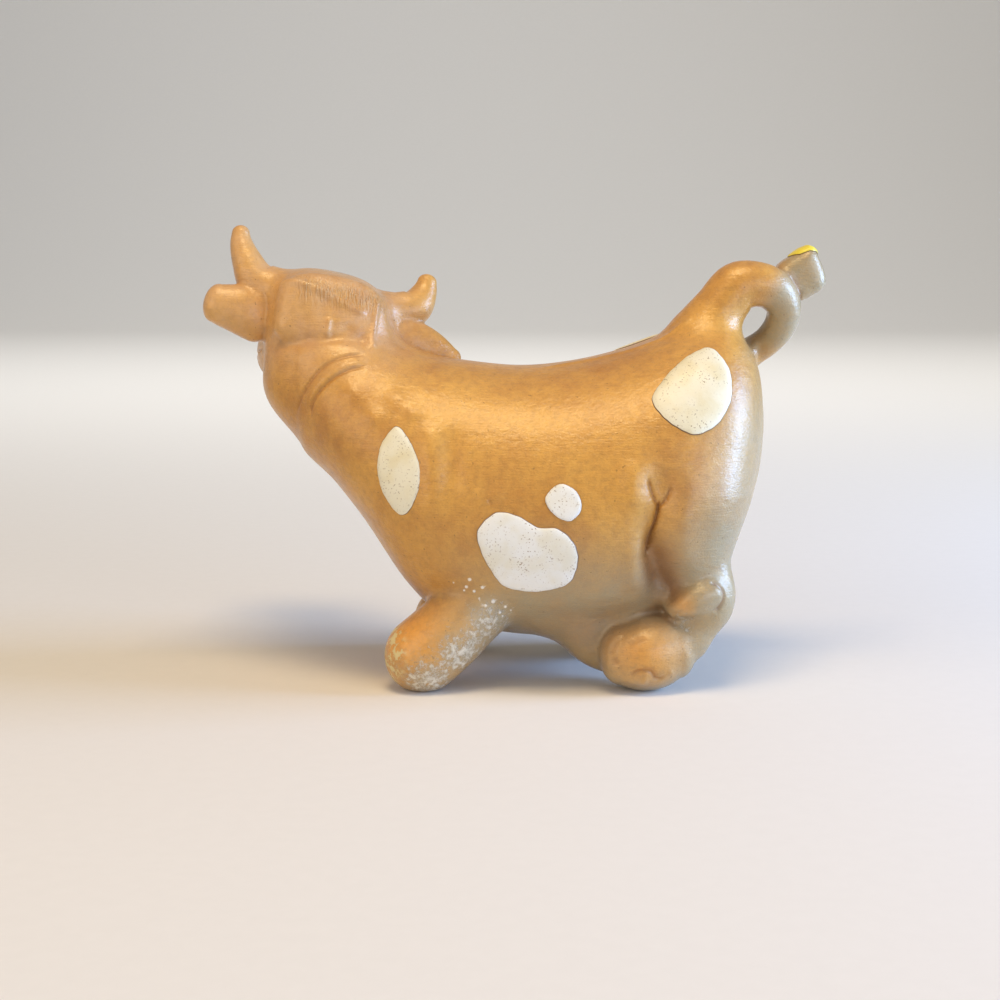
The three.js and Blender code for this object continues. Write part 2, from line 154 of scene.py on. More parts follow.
def spline(points: Array, per_span: int, centripetal: bool = True) -> Array:
    """A smooth curve through rows of numbers, Catmull and Rom's cubic between each two rows.

    The slope at a row is the mean of the slopes on both sides of it. The centripetal kind
    spaces the rows by the square root of their distance, which keeps tight bends round.

    Args:
        points: one row for each station, with any number of columns.
        per_span: samples between two stations.
        centripetal: whether the spacing follows the distances.

    Returns:
        The samples, one row each, with the last station included.
    """
    rows = np.vstack([2 * points[0] - points[1], points, 2 * points[-1] - points[-2]])
    before, start, end, after = rows[:-3], rows[1:-2], rows[2:-1], rows[3:]
    if centripetal:
        gaps = np.sqrt(np.linalg.norm(np.diff(rows, axis=0), axis=1))[:, None]
        gap_in, gap, gap_out = gaps[:-2], gaps[1:-1], gaps[2:]
        leave = (start - before) / gap_in - (end - before) / (gap_in + gap) + (end - start) / gap
        arrive = (end - start) / gap - (after - start) / (gap + gap_out) + (after - end) / gap_out
        leave, arrive = leave * gap, arrive * gap
    else:
        leave, arrive = (end - before) / 2, (after - start) / 2
    share = (np.arange(per_span) / per_span)[None, :, None]
    second = (-3 * start + 3 * end - 2 * leave - arrive)[:, None, :]
    third = (2 * start - 2 * end + leave + arrive)[:, None, :]
    curve = start[:, None, :] + share * leave[:, None, :] + share**2 * second + share**3 * third
    return np.vstack([curve.reshape(-1, points.shape[1]), points[-1]])


def closed_spline(points: Array, per_span: int) -> Array:
    """A smooth closed curve through rows of numbers, the first row not repeated at the end."""
    curve = spline(np.vstack([points[-2:], points, points[:3]]), per_span)
    return curve[2 * per_span:(len(points) + 2) * per_span]


def lengths_along(path: Array) -> Array:
    """Running length of a polyline, 0 at its first point."""
    return np.concatenate([[0.0], np.cumsum(np.linalg.norm(np.diff(path, axis=0), axis=1))])


def resample(rows: Array, at: Array, places: Array) -> Array:
    """Rows read off at other places by straight interpolation, column by column."""
    return np.stack([np.interp(places, at, column) for column in rows.T], axis=1)


def from_egg(points: Array, centre: tuple, stretch: tuple) -> Array:
    """Distance from a centre, with each axis measured in its own unit."""
    return np.linalg.norm((points - np.array(centre)) / np.array(stretch), axis=1)


def unit(vectors: Array) -> Array:
    """The vectors at length 1."""
    return vectors / np.maximum(np.linalg.norm(vectors, axis=-1, keepdims=True), 1e-12)


# The solids that the cow is modelled from, in the cow's own millimetres


@dataclass
class Limb:
    """An oval section carried along a smooth path, with a round end at both ends.

    Attributes:
        stations: rows of x, y, z, half size along the reference, half size across it.
        reference: the direction that the first half size lies in.
        power: 2 for an oval section; more makes it squarer.
        blunt: length of the round ends as a share of the section's half size.
        samples: how many places along the path are kept.
    """

    stations: Array
    reference: Array
    power: float = 2.0
    blunt: float = 1.0
    samples: int = 120
    rows: Array = field(init=False)
    caps: tuple = field(init=False)

    def __post_init__(self) -> None:
        """Lays out centre, axes and half sizes at even steps, with room for the round ends."""
        stations = np.asarray(self.stations, float)
        centre = spline(stations[:, :3], 48)
        size = spline(stations[:, 3:], 48, centripetal=False)
        run = lengths_along(centre)
        first = min(0.45 * run[-1], self.blunt * size[0].mean())
        last = min(0.45 * run[-1], self.blunt * size[-1].mean())
        places = np.linspace(first, run[-1] - last, self.samples)
        centre = resample(centre, run, places)
        size = resample(size, run, places)
        tangent = unit(np.gradient(centre, axis=0))
        reference = np.asarray(self.reference, float)
        along = unit(reference - (tangent @ reference)[:, None] * tangent)
        across = np.cross(tangent, along)
        self.rows = np.hstack([centre, along, across, size, tangent])
        self.caps = (first, last)

    def distance(self, points: Array) -> Array:
        """Distance from each point to the limb's skin, FAR beyond the limb's own box.

        In words: find the nearest place on the path, scale the offset by the oval's half
        sizes, and take away the oval's own reach in that direction.

        Args:
            points: rows of x, y, z.

        Returns:
            Distances in millimetres, negative inside.
        """
        reach = self.rows[:, 9:11].max() + FAR
        low, high = self.rows[:, :3].min(0) - reach, self.rows[:, :3].max(0) + reach
        near = np.flatnonzero(np.all((points > low) & (points < high), axis=1))
        result = np.full(len(points), FAR)
        for part in np.array_split(near, max(1, len(near) // 60000)):
            if len(part):
                result[part] = np.minimum(self._near_distance(points[part]), FAR)
        return result

    def _near_distance(self, points: Array) -> Array:
        """Distance for points within the limb's box. See distance()."""
        centre = self.rows[:, :3]
        apart = (centre**2).sum(1) - 2.0 * points @ centre.T
        nearest = np.argmin(apart, axis=1)
        step = lengths_along(centre)[-1] / (len(centre) - 1)
        lead = ((points - centre[nearest]) * self.rows[nearest, 11:14]).sum(1) / step
        place = np.clip(nearest + np.clip(lead, -1.0, 1.0), 0.0, len(centre) - 1.000001)
        low = place.astype(int)
        share = (place - low)[:, None]
        here = self.rows[low] * (1.0 - share) + self.rows[low + 1] * share
        offset = points - here[:, :3]
        along = (offset * here[:, 3:6]).sum(1)
        across = (offset * here[:, 6:9]).sum(1)
        total = (offset**2).sum(1)
        beyond = np.sqrt(np.maximum(total - along**2 - across**2, 0.0))
        cap = np.where(place < 0.5 * len(centre), self.caps[0], self.caps[1])
        shares = np.abs([along / here[:, 9], across / here[:, 10], beyond / cap])
        swell = (shares**self.power).sum(0) ** (1.0 / self.power)
        reach = np.sqrt(total)
        return reach - reach / np.maximum(swell, 1e-6)


@dataclass
class Trunk:
    """The trunk: ovals stacked along X, whose back dips behind the withers and climbs behind.

    Attributes:
        chest_x: where the chest starts.
        length: chest to rump.
        belly: height of the belly over the table.
        depth: belly to back.
        width: across the flanks.
        flank: share of the height at which an oval is widest.
        stations: rows of place, underside, back and width, as shares of the sizes above.
    """

    chest_x: float = -41.5
    length: float = 88.1
    belly: float = 7.5
    depth: float = 51.2
    width: float = 51.0
    flank: float = 0.47
    stations: tuple = (
        (0.010, 0.81, 0.96, 0.16),
        (0.030, 0.70, 1.02, 0.34),
        (0.085, 0.575, 1.05, 0.57),
        (0.153, 0.42, 1.055, 0.71),
        (0.244, 0.185, 1.045, 0.84),
        (0.335, 0.05, 1.02, 0.92),
        (0.471, 0.002, 0.995, 0.97),
        (0.585, -0.002, 1.01, 1.0),
        (0.700, 0.012, 1.055, 0.995),
        (0.810, 0.085, 1.12, 0.94),
        (0.900, 0.235, 1.145, 0.80),
        (0.955, 0.41, 1.09, 0.60),
        (0.985, 0.56, 1.0, 0.36),
        (0.997, 0.685, 0.88, 0.16),
    )
    x: Array = field(init=False)
    tables: Array = field(init=False)
    ends: Array = field(init=False)
    slopes: Array = field(init=False)

    def __post_init__(self) -> None:
        """Works out, along X, middle height, half width over half height, and squared half width."""
        rows = spline(np.array(self.stations), 40, centripetal=False)
        x = self.chest_x + rows[:, 0] * self.length
        low, high = self.height(rows[:, 1]), self.height(rows[:, 2])
        middle = low + self.flank * (high - low)
        half = rows[:, 3] * self.width / 2
        table = np.stack([middle, half / (high - middle), half / (middle - low), half**2], axis=1)
        slope = np.gradient(table[:, [0, 3]], x, axis=0)
        steps = np.linspace(x[0] - 8.0, x[-1] + 8.0, 1200)
        window = np.hanning(61) / np.hanning(61).sum()
        evened = [np.convolve(np.pad(np.interp(steps, x, column), 30, mode="edge"), window, "valid")
                  for column in slope.T]
        self.x, self.tables, self.ends = x, table, slope[[0, -1]]
        self.slopes = np.stack([steps, *evened])

    def height(self, share: float | Array) -> float | Array:
        """Height over the table of a share of the trunk's depth."""
        return self.belly + share * self.depth

    def distance(self, points: Array) -> Array:
        """Distance to the trunk's skin.

        In words: squared distance from the axis, with heights stretched so that the oval is
        a circle, less the squared half width, over the slope of that same number, evened out
        over 5 mm. Beyond the ends the squared half width runs on below zero.

        Args:
            points: rows of x, y, z.

        Returns:
            Distances in millimetres, negative inside.
        """
        x = np.clip(points[:, 0], self.x[0], self.x[-1])
        middle, above, below, square = (np.interp(x, self.x, column) for column in self.tables.T)
        d_middle, d_square = (np.interp(points[:, 0], self.slopes[0], row) for row in self.slopes[1:])
        beyond = points[:, 0] - x
        end_middle, end_square = np.where(beyond[:, None] < 0, self.ends[0], self.ends[1]).T
        square, middle = square + beyond * end_square, middle + beyond * end_middle
        rise = points[:, 2] - middle
        ratio = np.where(rise > 0, above, below)
        value = points[:, 1] ** 2 + (ratio * rise) ** 2 - square
        slope_x = -2.0 * ratio**2 * rise * d_middle - d_square
        slope = np.sqrt(4.0 * points[:, 1] ** 2 + 4.0 * (ratio**2 * rise) ** 2 + slope_x**2)
        return np.clip(value / np.maximum(slope, 1e-3), -2 * FAR, FAR)


@dataclass
class Slab:
    """A flat piece with a cornered outline and rounded edges, standing along the cow.

    Attributes:
        outline: rows of x and z.
        middle: its place across the cow.
        half: half its thickness.
        rounding: radius of its edges.
    """

    outline: tuple
    middle: float
    half: float
    rounding: float

    def distance(self, points: Array) -> Array:
        """Distance to the slab: the outline's and the faces' distances, rounded where they meet.

        Args:
            points: rows of x, y, z.

        Returns:
            Distances in millimetres, negative inside.
        """
        flat = points[:, [0, 2]]
        outline = closed_spline(np.array(self.outline, float), 2)
        best = np.full(len(points), 1e6)
        inside = np.zeros(len(points), bool)
        for start, end in zip(outline, np.roll(outline, -1, axis=0)):
            edge, offset = end - start, flat - start
            share = np.clip(offset @ edge / (edge @ edge), 0.0, 1.0)
            best = np.minimum(best, ((offset - share[:, None] * edge) ** 2).sum(1))
            crossed = (start[1] <= flat[:, 1]) != (end[1] <= flat[:, 1])
            left = edge[0] * offset[:, 1] - edge[1] * offset[:, 0] > 0
            inside ^= crossed & (left == (end[1] > start[1]))
        flat_gap = np.sqrt(best) * np.where(inside, -1.0, 1.0) + self.rounding
        deep_gap = np.abs(points[:, 1] - self.middle) - self.half + self.rounding
        outer = np.hypot(np.maximum(flat_gap, 0.0), np.maximum(deep_gap, 0.0))
        inner = np.minimum(np.maximum(flat_gap, deep_gap), 0.0)
        return np.minimum(outer + inner - self.rounding, FAR)


@dataclass
class HeadPose:
    """The head's own frame: forward to the muzzle, left to the left horn, up to the crown.

    Attributes:
        centre: the skull's centre.
        yaw: how far the head is turned to the cow's right, in degrees.
        pitch: how far the muzzle is lifted.
        roll: how far the left horn is lifted, negative up.
    """

    centre: Array
    yaw: float = 75.0
    pitch: float = -10.0
    roll: float = -12.0

    def axes(self) -> Array:
        """Forward, left and up as the columns of a turning matrix."""
        turn, nod, lean = (math.radians(angle) for angle in (180 - self.yaw, -self.pitch, -self.roll))
        about_z = np.array([
            [math.cos(turn), -math.sin(turn), 0], [math.sin(turn), math.cos(turn), 0], [0, 0, 1]])
        about_y = np.array([
            [math.cos(nod), 0, math.sin(nod)], [0, 1, 0], [-math.sin(nod), 0, math.cos(nod)]])
        about_x = np.array([
            [1, 0, 0], [0, math.cos(lean), -math.sin(lean)], [0, math.sin(lean), math.cos(lean)]])
        return about_z @ about_y @ about_x

    def place(self, local: Array) -> Array:
        """Points of the head's frame in the cow's frame."""
        return self.centre + np.asarray(local, float) @ self.axes().T

    def local(self, points: Array) -> Array:
        """Points of the cow's frame in the head's frame."""
        return (points - self.centre) @ self.axes()

    def limb(self, stations: tuple, reference: tuple, power: float = 2.0, blunt: float = 1.0) -> Limb:
        """A limb whose stations and reference are given in the head's frame.

        Args:
            stations: rows as Limb takes them.
            reference: the direction that the first half size lies in.
            power: how square the section is.
            blunt: length of the round ends.

        Returns:
            The limb in the cow's frame.
        """
        rows = np.asarray(stations, float)
        placed = np.hstack([self.place(rows[:, :3]), rows[:, 3:]])
        return Limb(placed, self.axes() @ np.array(reference, float), power, blunt)


@dataclass
class CowShape:
    """Every solid of the cow and the field that joins them, in millimetres.

    Attributes:
        trunk: the trunk.
        far_stride: how far the far legs stand ahead of or behind the near ones.
        seam_lean: lean of the seam between the castings, in degrees.
        fill_bore: bore of the filling hole.
        fill_x: its place along the cow.
        pepper_bore: bore of a shaking hole.
        pepper_spacing: from one shaking hole to the next.
    """

    trunk: Trunk = field(default_factory=Trunk)
    far_stride: float = 2.5
    seam_lean: float = 40.0
    fill_bore: float = 12.0
    fill_x: float = 3.0
    pepper_bore: float = 1.8
    pepper_spacing: float = 5.0

    def __post_init__(self) -> None:
        """Lays out the limbs. Rows hold a place and two half sizes, the first across the cow."""
        neck_foot, neck_top = np.array([-18.6, 1.0, 44.364]), np.array([-38.4, 3.0, 66.892])
        self.seam_centre = neck_foot + 0.56 * (neck_top - neck_foot)
        lean = math.radians(self.seam_lean)
        self.seam_normal = np.array([-math.sin(lean), 0.0, math.cos(lean)])
        self.head = HeadPose(neck_top + np.array([2.2, 2.5, 0.3]))
        self.neck = self._across((
            (-25.0, 1.0, 43.0, 14.6, 13.6),
            (-31.2, 1.4, 54.0, 13.0, 11.2),
            (-36.2, 2.2, 66.0, 11.4, 8.8),
        ))
        self.jowl = self._across((
            (-38.9, 0.8, 66.5, 8.8, 7.2),
            (-39.9, 0.6, 57.0, 8.8, 7.3),
            (-39.4, 0.6, 48.2, 8.2, 7.2),
        ))
        self.skull = self.head.limb((
            (-13.2, 0.4, -0.5, 4.8, 8.6),
            (-10.6, 0.4, -0.5, 6.2, 9.7),
            (-5.2, 0.2, -0.3, 8.2, 11.2),
            (2.0, 0.0, 0.0, 8.9, 12.0),
            (8.3, 0.0, -0.5, 8.9, 11.2),
            (19.3, 0.0, -1.5, 7.6, 8.2),
            (29.4, 0.0, -2.5, 7.6, 8.6),
            (35.9, 0.0, -3.5, 6.4, 7.6),
        ), (0, 0, 1), 2.6, 0.65)
        self.horns = {
            Side.LEFT: self.head.limb((
                (0.0, 8.0, 2.4, 3.9, 4.2),
                (-0.5, 10.3, 3.0, 4.0, 4.1),
                (-0.5, 13.7, 4.1, 3.7, 3.8),
                (-0.5, 16.0, 7.0, 2.9, 3.0),
                (0.0, 17.9, 10.8, 2.1, 2.1),
                (0.0, 18.5, 14.0, 1.4, 1.3),
            ), (1, 0, 0), 2.0, 1.15),
            Side.RIGHT: self.head.limb((
                (0.0, -8.3, 2.4, 3.8, 4.0),
                (-0.5, -11.5, 3.0, 3.8, 3.9),
                (-0.5, -14.0, 3.8, 3.7, 3.8),
                (-0.5, -16.7, 5.3, 3.3, 3.5),
                (0.0, -18.2, 8.6, 2.3, 2.5),
                (0.0, -18.5, 12.2, 1.4, 1.4),
            ), (1, 0, 0), 2.0, 1.15),
        }
        self.ears = {
            Side.LEFT: self.head.limb((
                (-1.0, 9.0, -3.2, 3.1, 5.2),
                (-1.5, 14.6, -2.1, 3.4, 5.0),
                (-1.5, 19.4, -1.8, 3.2, 4.0),
                (-1.5, 23.0, -1.5, 2.4, 2.9),
            ), (1, 0, 0), 2.1, 0.9),
            Side.RIGHT: self.head.limb((
                (-1.0, -9.0, -2.8, 3.0, 5.0),
                (-1.5, -15.0, -2.2, 3.4, 4.9),
                (-1.5, -20.0, -2.9, 3.1, 4.5),
                (-1.5, -26.8, -5.2, 2.0, 2.6),
            ), (1, 0, 0), 2.2),
        }
        self.legs = [leg for side in Side for leg in self._legs(side)]
        self.tail = self._across((
            (31.6, 0.0, 58.6, 6.8, 6.2),
            (34.9, 0.0, 64.4, 5.9, 5.6),
            (38.2, 0.0, 69.0, 5.0, 4.9),
            (41.6, 0.0, 72.9, 4.6, 4.8),
            (45.2, 0.2, 73.5, 4.3, 4.2),
            (48.4, 0.8, 72.3, 3.9, 3.9),
            (50.5, 1.8, 69.2, 3.4, 3.3),
            (50.1, 3.0, 65.9, 3.2, 3.0),
            (48.2, 4.8, 62.9, 3.0, 2.8),
            (45.7, 7.2, 60.5, 2.7, 2.6),
            (43.0, 9.0, 58.4, 2.2, 2.2),
        ))
        self.tuft = Slab((
            (48.6, 74.6), (50.0, 77.2), (52.6, 78.9), (55.4, 80.4), (56.8, 79.6), (57.8, 77.6), (58.9, 74.4),
            (58.3, 72.6), (56.4, 71.4), (54.2, 70.3), (51.4, 71.6), (49.0, 72.8),
        ), 5.9, 3.7, 2.5)

    @staticmethod
    def _across(stations: tuple) -> Limb:
        """A limb whose first half size lies across the cow, along Y."""
        return Limb(np.array(stations, float), np.array([0.0, 1.0, 0.0]))

    def _legs(self, side: Side) -> list[tuple[Limb, float]]:
        """The limbs of one flank, each with the radius over which it melts into the body.

        Rows hold x, distance from the middle plane, height and the two half sizes.

        Args:
            side: the flank.

        Returns:
            Limbs and radii, in the order in which they are joined.
        """
        front = (
            (-2.2, 11.0, 20.2, 7.5, 7.6),
            (-8.0, 13.9, 14.6, 7.2, 6.8),
            (-13.2, 15.2, 9.6, 7.4, 7.0),
            (-22.4, 15.5, 1.8, 7.2, 7.2),
        )
        thigh = (
            (30.0, 11.2, 46.0, 11.5, 12.0),
            (31.0, 12.6, 33.0, 10.6, 9.8),
            (31.8, 13.2, 25.5, 8.0, 7.3),
            (33.0, 14.0, 16.0, 4.4, 4.8),
        )
        heel = ((34.6, 14.8, 24.0, 3.4, 3.2), (36.2, 15.2, 18.6, 4.2, 3.8), (34.8, 15.4, 12.0, 3.8, 3.6))
        shank = ((35.6, 15.0, 20.5, 4.2, 4.2), (32.8, 15.2, 12.5, 4.5, 4.5), (27.5, 15.4, 5.5, 5.6, 5.6))
        hock = ((27.6, 15.2, 16.0, 3.8, 2.8), (31.8, 18.0, 17.4, 4.7, 3.5), (37.4, 17.0, 19.4, 3.6, 2.8))
        web = ((27.0, 11.0, 8.6, 5.6, 6.0), (21.0, 11.5, 8.2, 6.0, 6.8), (15.4, 11.0, 8.8, 5.4, 5.8),
               (10.4, 10.4, 12.4, 4.8, 5.0), (4.0, 10.0, 16.0, 4.4, 4.4))
        foot = (
            (32.8, 15.3, 8.2, 3.8, 3.6),
            (28.2, 15.9, 7.6, 5.8, 6.1),
            (23.4, 16.4, 6.7, 6.8, 6.8),
            (19.0, 16.2, 6.7, 6.0, 5.5),
            (15.4, 15.4, 7.0, 4.4, 4.0),
        )
        limbs = []
        plan = (
            (front, 1.6 * self.far_stride, 1.6),
            (thigh, -self.far_stride, 5.0),
            (heel, -self.far_stride, 1.8),
            (shank, -self.far_stride, 3.0),
            (web, -self.far_stride, 4.0),
            (hock, -self.far_stride, 1.2),
            (foot, -self.far_stride, 0.8),
        )
        for rows, stride, melt in plan:
            shift = stride if side is Side.RIGHT else 0.0
            placed = [(x + shift, side.value * out, z, deep, wide) for x, out, z, deep, wide in rows]
            limbs.append((self._across(placed), melt))
        return limbs

    def seam(self, points: Array) -> Array:
        """Height over the slanting seam between the two castings, positive on the head's side."""
        return (points - self.seam_centre) @ self.seam_normal

    def core(self, points: Array) -> Array:
        """Distance to trunk, neck and legs, without what is luted on."""
        result = smooth_union(self.trunk.distance(points), self.neck.distance(points), NECK_MELT)
        for limb, melt in self.legs:
            result = smooth_union(result, limb.distance(points), melt)
        return result

    def skin(self, points: Array) -> Array:
        """Distance to the finished cow, with its holes cut and its feet flat on the table.

        In words: every solid's distance joined by smooth unions, then the cuts taken out.

        Args:
            points: rows of x, y, z.

        Returns:
            Distances in millimetres, negative inside.
        """
        result = self.core(points)
        result = smooth_union(result, self.tail.distance(points), TAIL_MELT)
        result = smooth_union(result, self.tuft.distance(points), TUFT_MELT)
        head = smooth_union(self.skull.distance(points), self.jowl.distance(points), HEAD_MELT)
        result = smooth_union(result, head, HEAD_MELT)
        for side in Side:
            result = smooth_union(result, self.horns[side].distance(points), HORN_MELT)
            result = smooth_union(result, self.ears[side].distance(points), EAR_MELT)
        result = self._with_face(points, result)
        result = smooth_cut(result, self._filling_hole(points), CUT_EDGE)
        return smooth_cut(result, points[:, 2], CUT_EDGE)

    def _filling_hole(self, points: Array) -> Array:
        """Distance to the bore in the belly and the hollow over it."""
        away = np.hypot(points[:, 0] - self.fill_x, points[:, 1])
        bore = np.maximum(away - self.fill_bore / 2, points[:, 2] - 24.0)
        half = (22.0, 17.0, 17.5)
        swell = from_egg(points, (self.fill_x, 0.0, 29.0), half)
        return smooth_union(bore, (swell - 1.0) * min(half), 1.5)

    def _with_face(self, points: Array, solid: Array) -> Array:
        """The solid with eyes, nostrils, mouth and pepper holes worked into the head.

        Args:
            points: rows of x, y, z.
            solid: distances so far.

        Returns:
            Distances with the face.
        """
        reach = np.linalg.norm(points - self.head.place((12.0, 0.0, 0.0)), axis=1)
        near = np.flatnonzero(reach < 36.0)
        if not len(near):
            return solid
        spot = self.head.local(points[near])
        part = solid[near]
        crown = spot[:, 2] - 2.0
        for place in (-1, 0, 1):
            away = np.hypot(spot[:, 0] - PEPPER_ROW, spot[:, 1] - place * self.pepper_spacing)
            part = smooth_cut(part, np.maximum(away - self.pepper_bore / 2, -crown), 0.3)
        for way in (-1, 1):
            lid = from_egg(spot, (11.0, way * 9.2, 4.4), (1.5, 0.9, 0.55)) - 2.4
            ball = from_egg(spot, (11.5, way * 9.4, 2.6), (1.15, 0.8, 0.9)) - 2.5
            nostril = from_egg(spot, (35.6, way * 5.4, -0.4), (1.0, 1.3, 0.8)) - 1.3
            part = smooth_union(part, lid, 1.4)
            part = smooth_union(part, ball, 0.5)
            part = smooth_cut(part, nostril, 0.9)
        lips = spot[:, 2] + 6.1 - 0.02 * spot[:, 1] ** 2 + 0.06 * (spot[:, 0] - 30.0)
        groove = np.max([np.abs(lips) - 0.22, MOUTH_CORNER - spot[:, 0], -part - MOUTH_DEPTH], axis=0)
        part = smooth_cut(part, groove, 0.45)
        result = solid.copy()
        result[near] = part
        return result


# Marks pressed into the clay or raised on it


@dataclass(frozen=True)
class Mark:
    """A line or a spot worked into the skin: a bell-shaped groove, or a ridge.

    Attributes:
        path: rows of x, y, z near the skin, in millimetres; one row makes a spot.
        lift: height of the mark, negative where it is pressed in.
        width: how far from the line the bell has fallen to about a third.
        fade: length over which a line runs out at each end.
        dirt_and_shade: share of darker brown laid in it, grime along a thin crease and painted shade in a
            wide valley.
    """

    path: tuple
    lift: float
    width: float
    fade: float = 1.5
    dirt_and_shade: float = 0.6

    def mirrored(self, shift: float) -> "Mark":
        """The same mark on the other flank, moved along the cow."""
        path = tuple((x + shift, -y, z) for x, y, z in self.path)
        return Mark(path, self.lift, self.width, self.fade, self.dirt_and_shade)

    def weight(self, points: Array, settle: Callable[[Array], Array]) -> Array:
        """How much of the mark reaches each point, from 0 to 1.

        Args:
            points: rows of x, y, z on the skin.
            settle: moves points onto the skin.

        Returns:
            exp(-(distance / width) squared), faded towards the line's ends.
        """
        line = settle(np.array(self.path, float))
        if len(line) == 1:
            return np.exp(-(((points - line[0]) ** 2).sum(1)) / self.width**2)
        line = settle(spline(line, 6))
        run = lengths_along(line)
        result = np.zeros(len(points))
        low, high = line.min(0) - 3 * self.width, line.max(0) + 3 * self.width
        near = np.flatnonzero(np.all((points > low) & (points < high), axis=1))
        spot = points[near]
        best = np.full(len(near), 1e9)
        place = np.zeros(len(near))
        for start, end, at in zip(line[:-1], line[1:], run[:-1]):
            span = end - start
            share = np.clip((spot - start) @ span / (span @ span), 0.0, 1.0)
            away = ((spot - start - share[:, None] * span) ** 2).sum(1)
            closer = away < best
            best[closer] = away[closer]
            place[closer] = at + share[closer] * np.linalg.norm(span)
        ends = smoothstep(0.0, self.fade, np.minimum(place, run[-1] - place) + 0.2 * self.fade)
        result[near] = np.exp(-best / self.width**2) * ends
        return result


REAR_SHIFT = -2.5
# The last number of a mark is its share of darker brown: grime in the thin creases, painted shade in the wide
# valley between flank and thigh.
FLANK_MARKS = (
    Mark(((23.2, -24.2, 40.1), (24.0, -24.6, 37.3), (25.1, -24.7, 34.9)), -0.45, 0.32, 1.5, 0.75),
    Mark(((27.4, -24.3, 38.7), (26.6, -24.5, 36.5), (25.3, -24.7, 34.7)), -0.45, 0.32, 1.5, 0.75),
    Mark(((25.3, -24.7, 36.2), (24.9, -24.8, 32.6), (24.3, -24.6, 29.4),
          (23.8, -23.8, 24.6)), -0.90, 0.38, 1.5, 1.0),
    Mark(((26.0, -24.8, 42.5), (25.6, -24.8, 37.0), (25.0, -24.7, 32.0),
          (24.4, -24.0, 27.0)), -1.5, 2.9, 6.0, 0.0),
    Mark(((30.0, -24.6, 36.0), (29.2, -24.4, 32.0), (29.4, -23.4, 27.0),
          (31.5, -22.0, 22.5)), 0.55, 2.4, 5.0),
    Mark(((24.5, -24.7, 32.5), (24.2, -23.8, 27.5), (24.9, -21.8, 23.0), (25.9, -20.0, 19.0),
          (26.4, -19.0, 15.5)),
         -1.4, 1.6, 7.0, 0.75),
    Mark(((24.8, -24.5, 30.5), (25.2, -23.2, 26.5), (26.2, -21.4, 22.5), (27.2, -19.6, 18.5),
          (27.4, -18.6, 15.0)),
         -1.7, 3.0, 8.0, 0.8),
    Mark(((20.8, -24.6, 44.0), (20.8, -24.6, 38.5), (21.0, -24.4, 33.5)), 0.90, 2.4, 5.0),
    Mark(((20.4, -24.4, 30.0), (20.8, -23.0, 24.0), (22.0, -21.0, 18.0)), 0.55, 1.7, 5.0),
    Mark(((34.6, -20.9, 21.0), (36.8, -20.2, 19.6), (37.3, -19.9, 17.6),
          (35.8, -20.3, 15.0)), -0.42, 0.50, 1.5, 0.55),
    Mark(((19.2, -20.5, 10.6), (17.8, -20.9, 9.0), (17.3, -21.2, 7.0)), -0.16, 0.8, 1.4, 0.35),
    Mark(((20.6, -22.2, 4.1), (21.8, -22.2, 5.0), (23.8, -22.2, 5.2), (24.6, -22.1, 4.5), (25.1, -21.9, 3.6),
          (25.9, -21.7, 3.4), (26.6, -21.6, 4.1)), -0.42, 0.46, 1.4, 0.55),
    Mark(((22.6, -22.2, 3.6), (24.0, -22.2, 3.3)), 0.30, 0.7, 1.0),
    Mark(((27.4, -21.4, 3.9), (28.2, -21.2, 5.2)), 0.34, 0.7, 1.0),
    Mark(((18.4, -21.8, 5.6), (17.6, -21.4, 7.4)), -0.35, 0.9, 1.0, 0.5),
    Mark(((20.0, -22.1, 2.4), (24.2, -22.2, 2.4)), 0.35, 0.8),
    Mark(((19.8, -22.4, 8.6), (21.4, -22.8, 10.4), (23.6, -22.6, 11.2)), -0.18, 0.9, 1.5, 0.3),
    Mark(((30.9, -20.6, 13.2),), -0.3, 1.4, 1.5, 0.3),
)
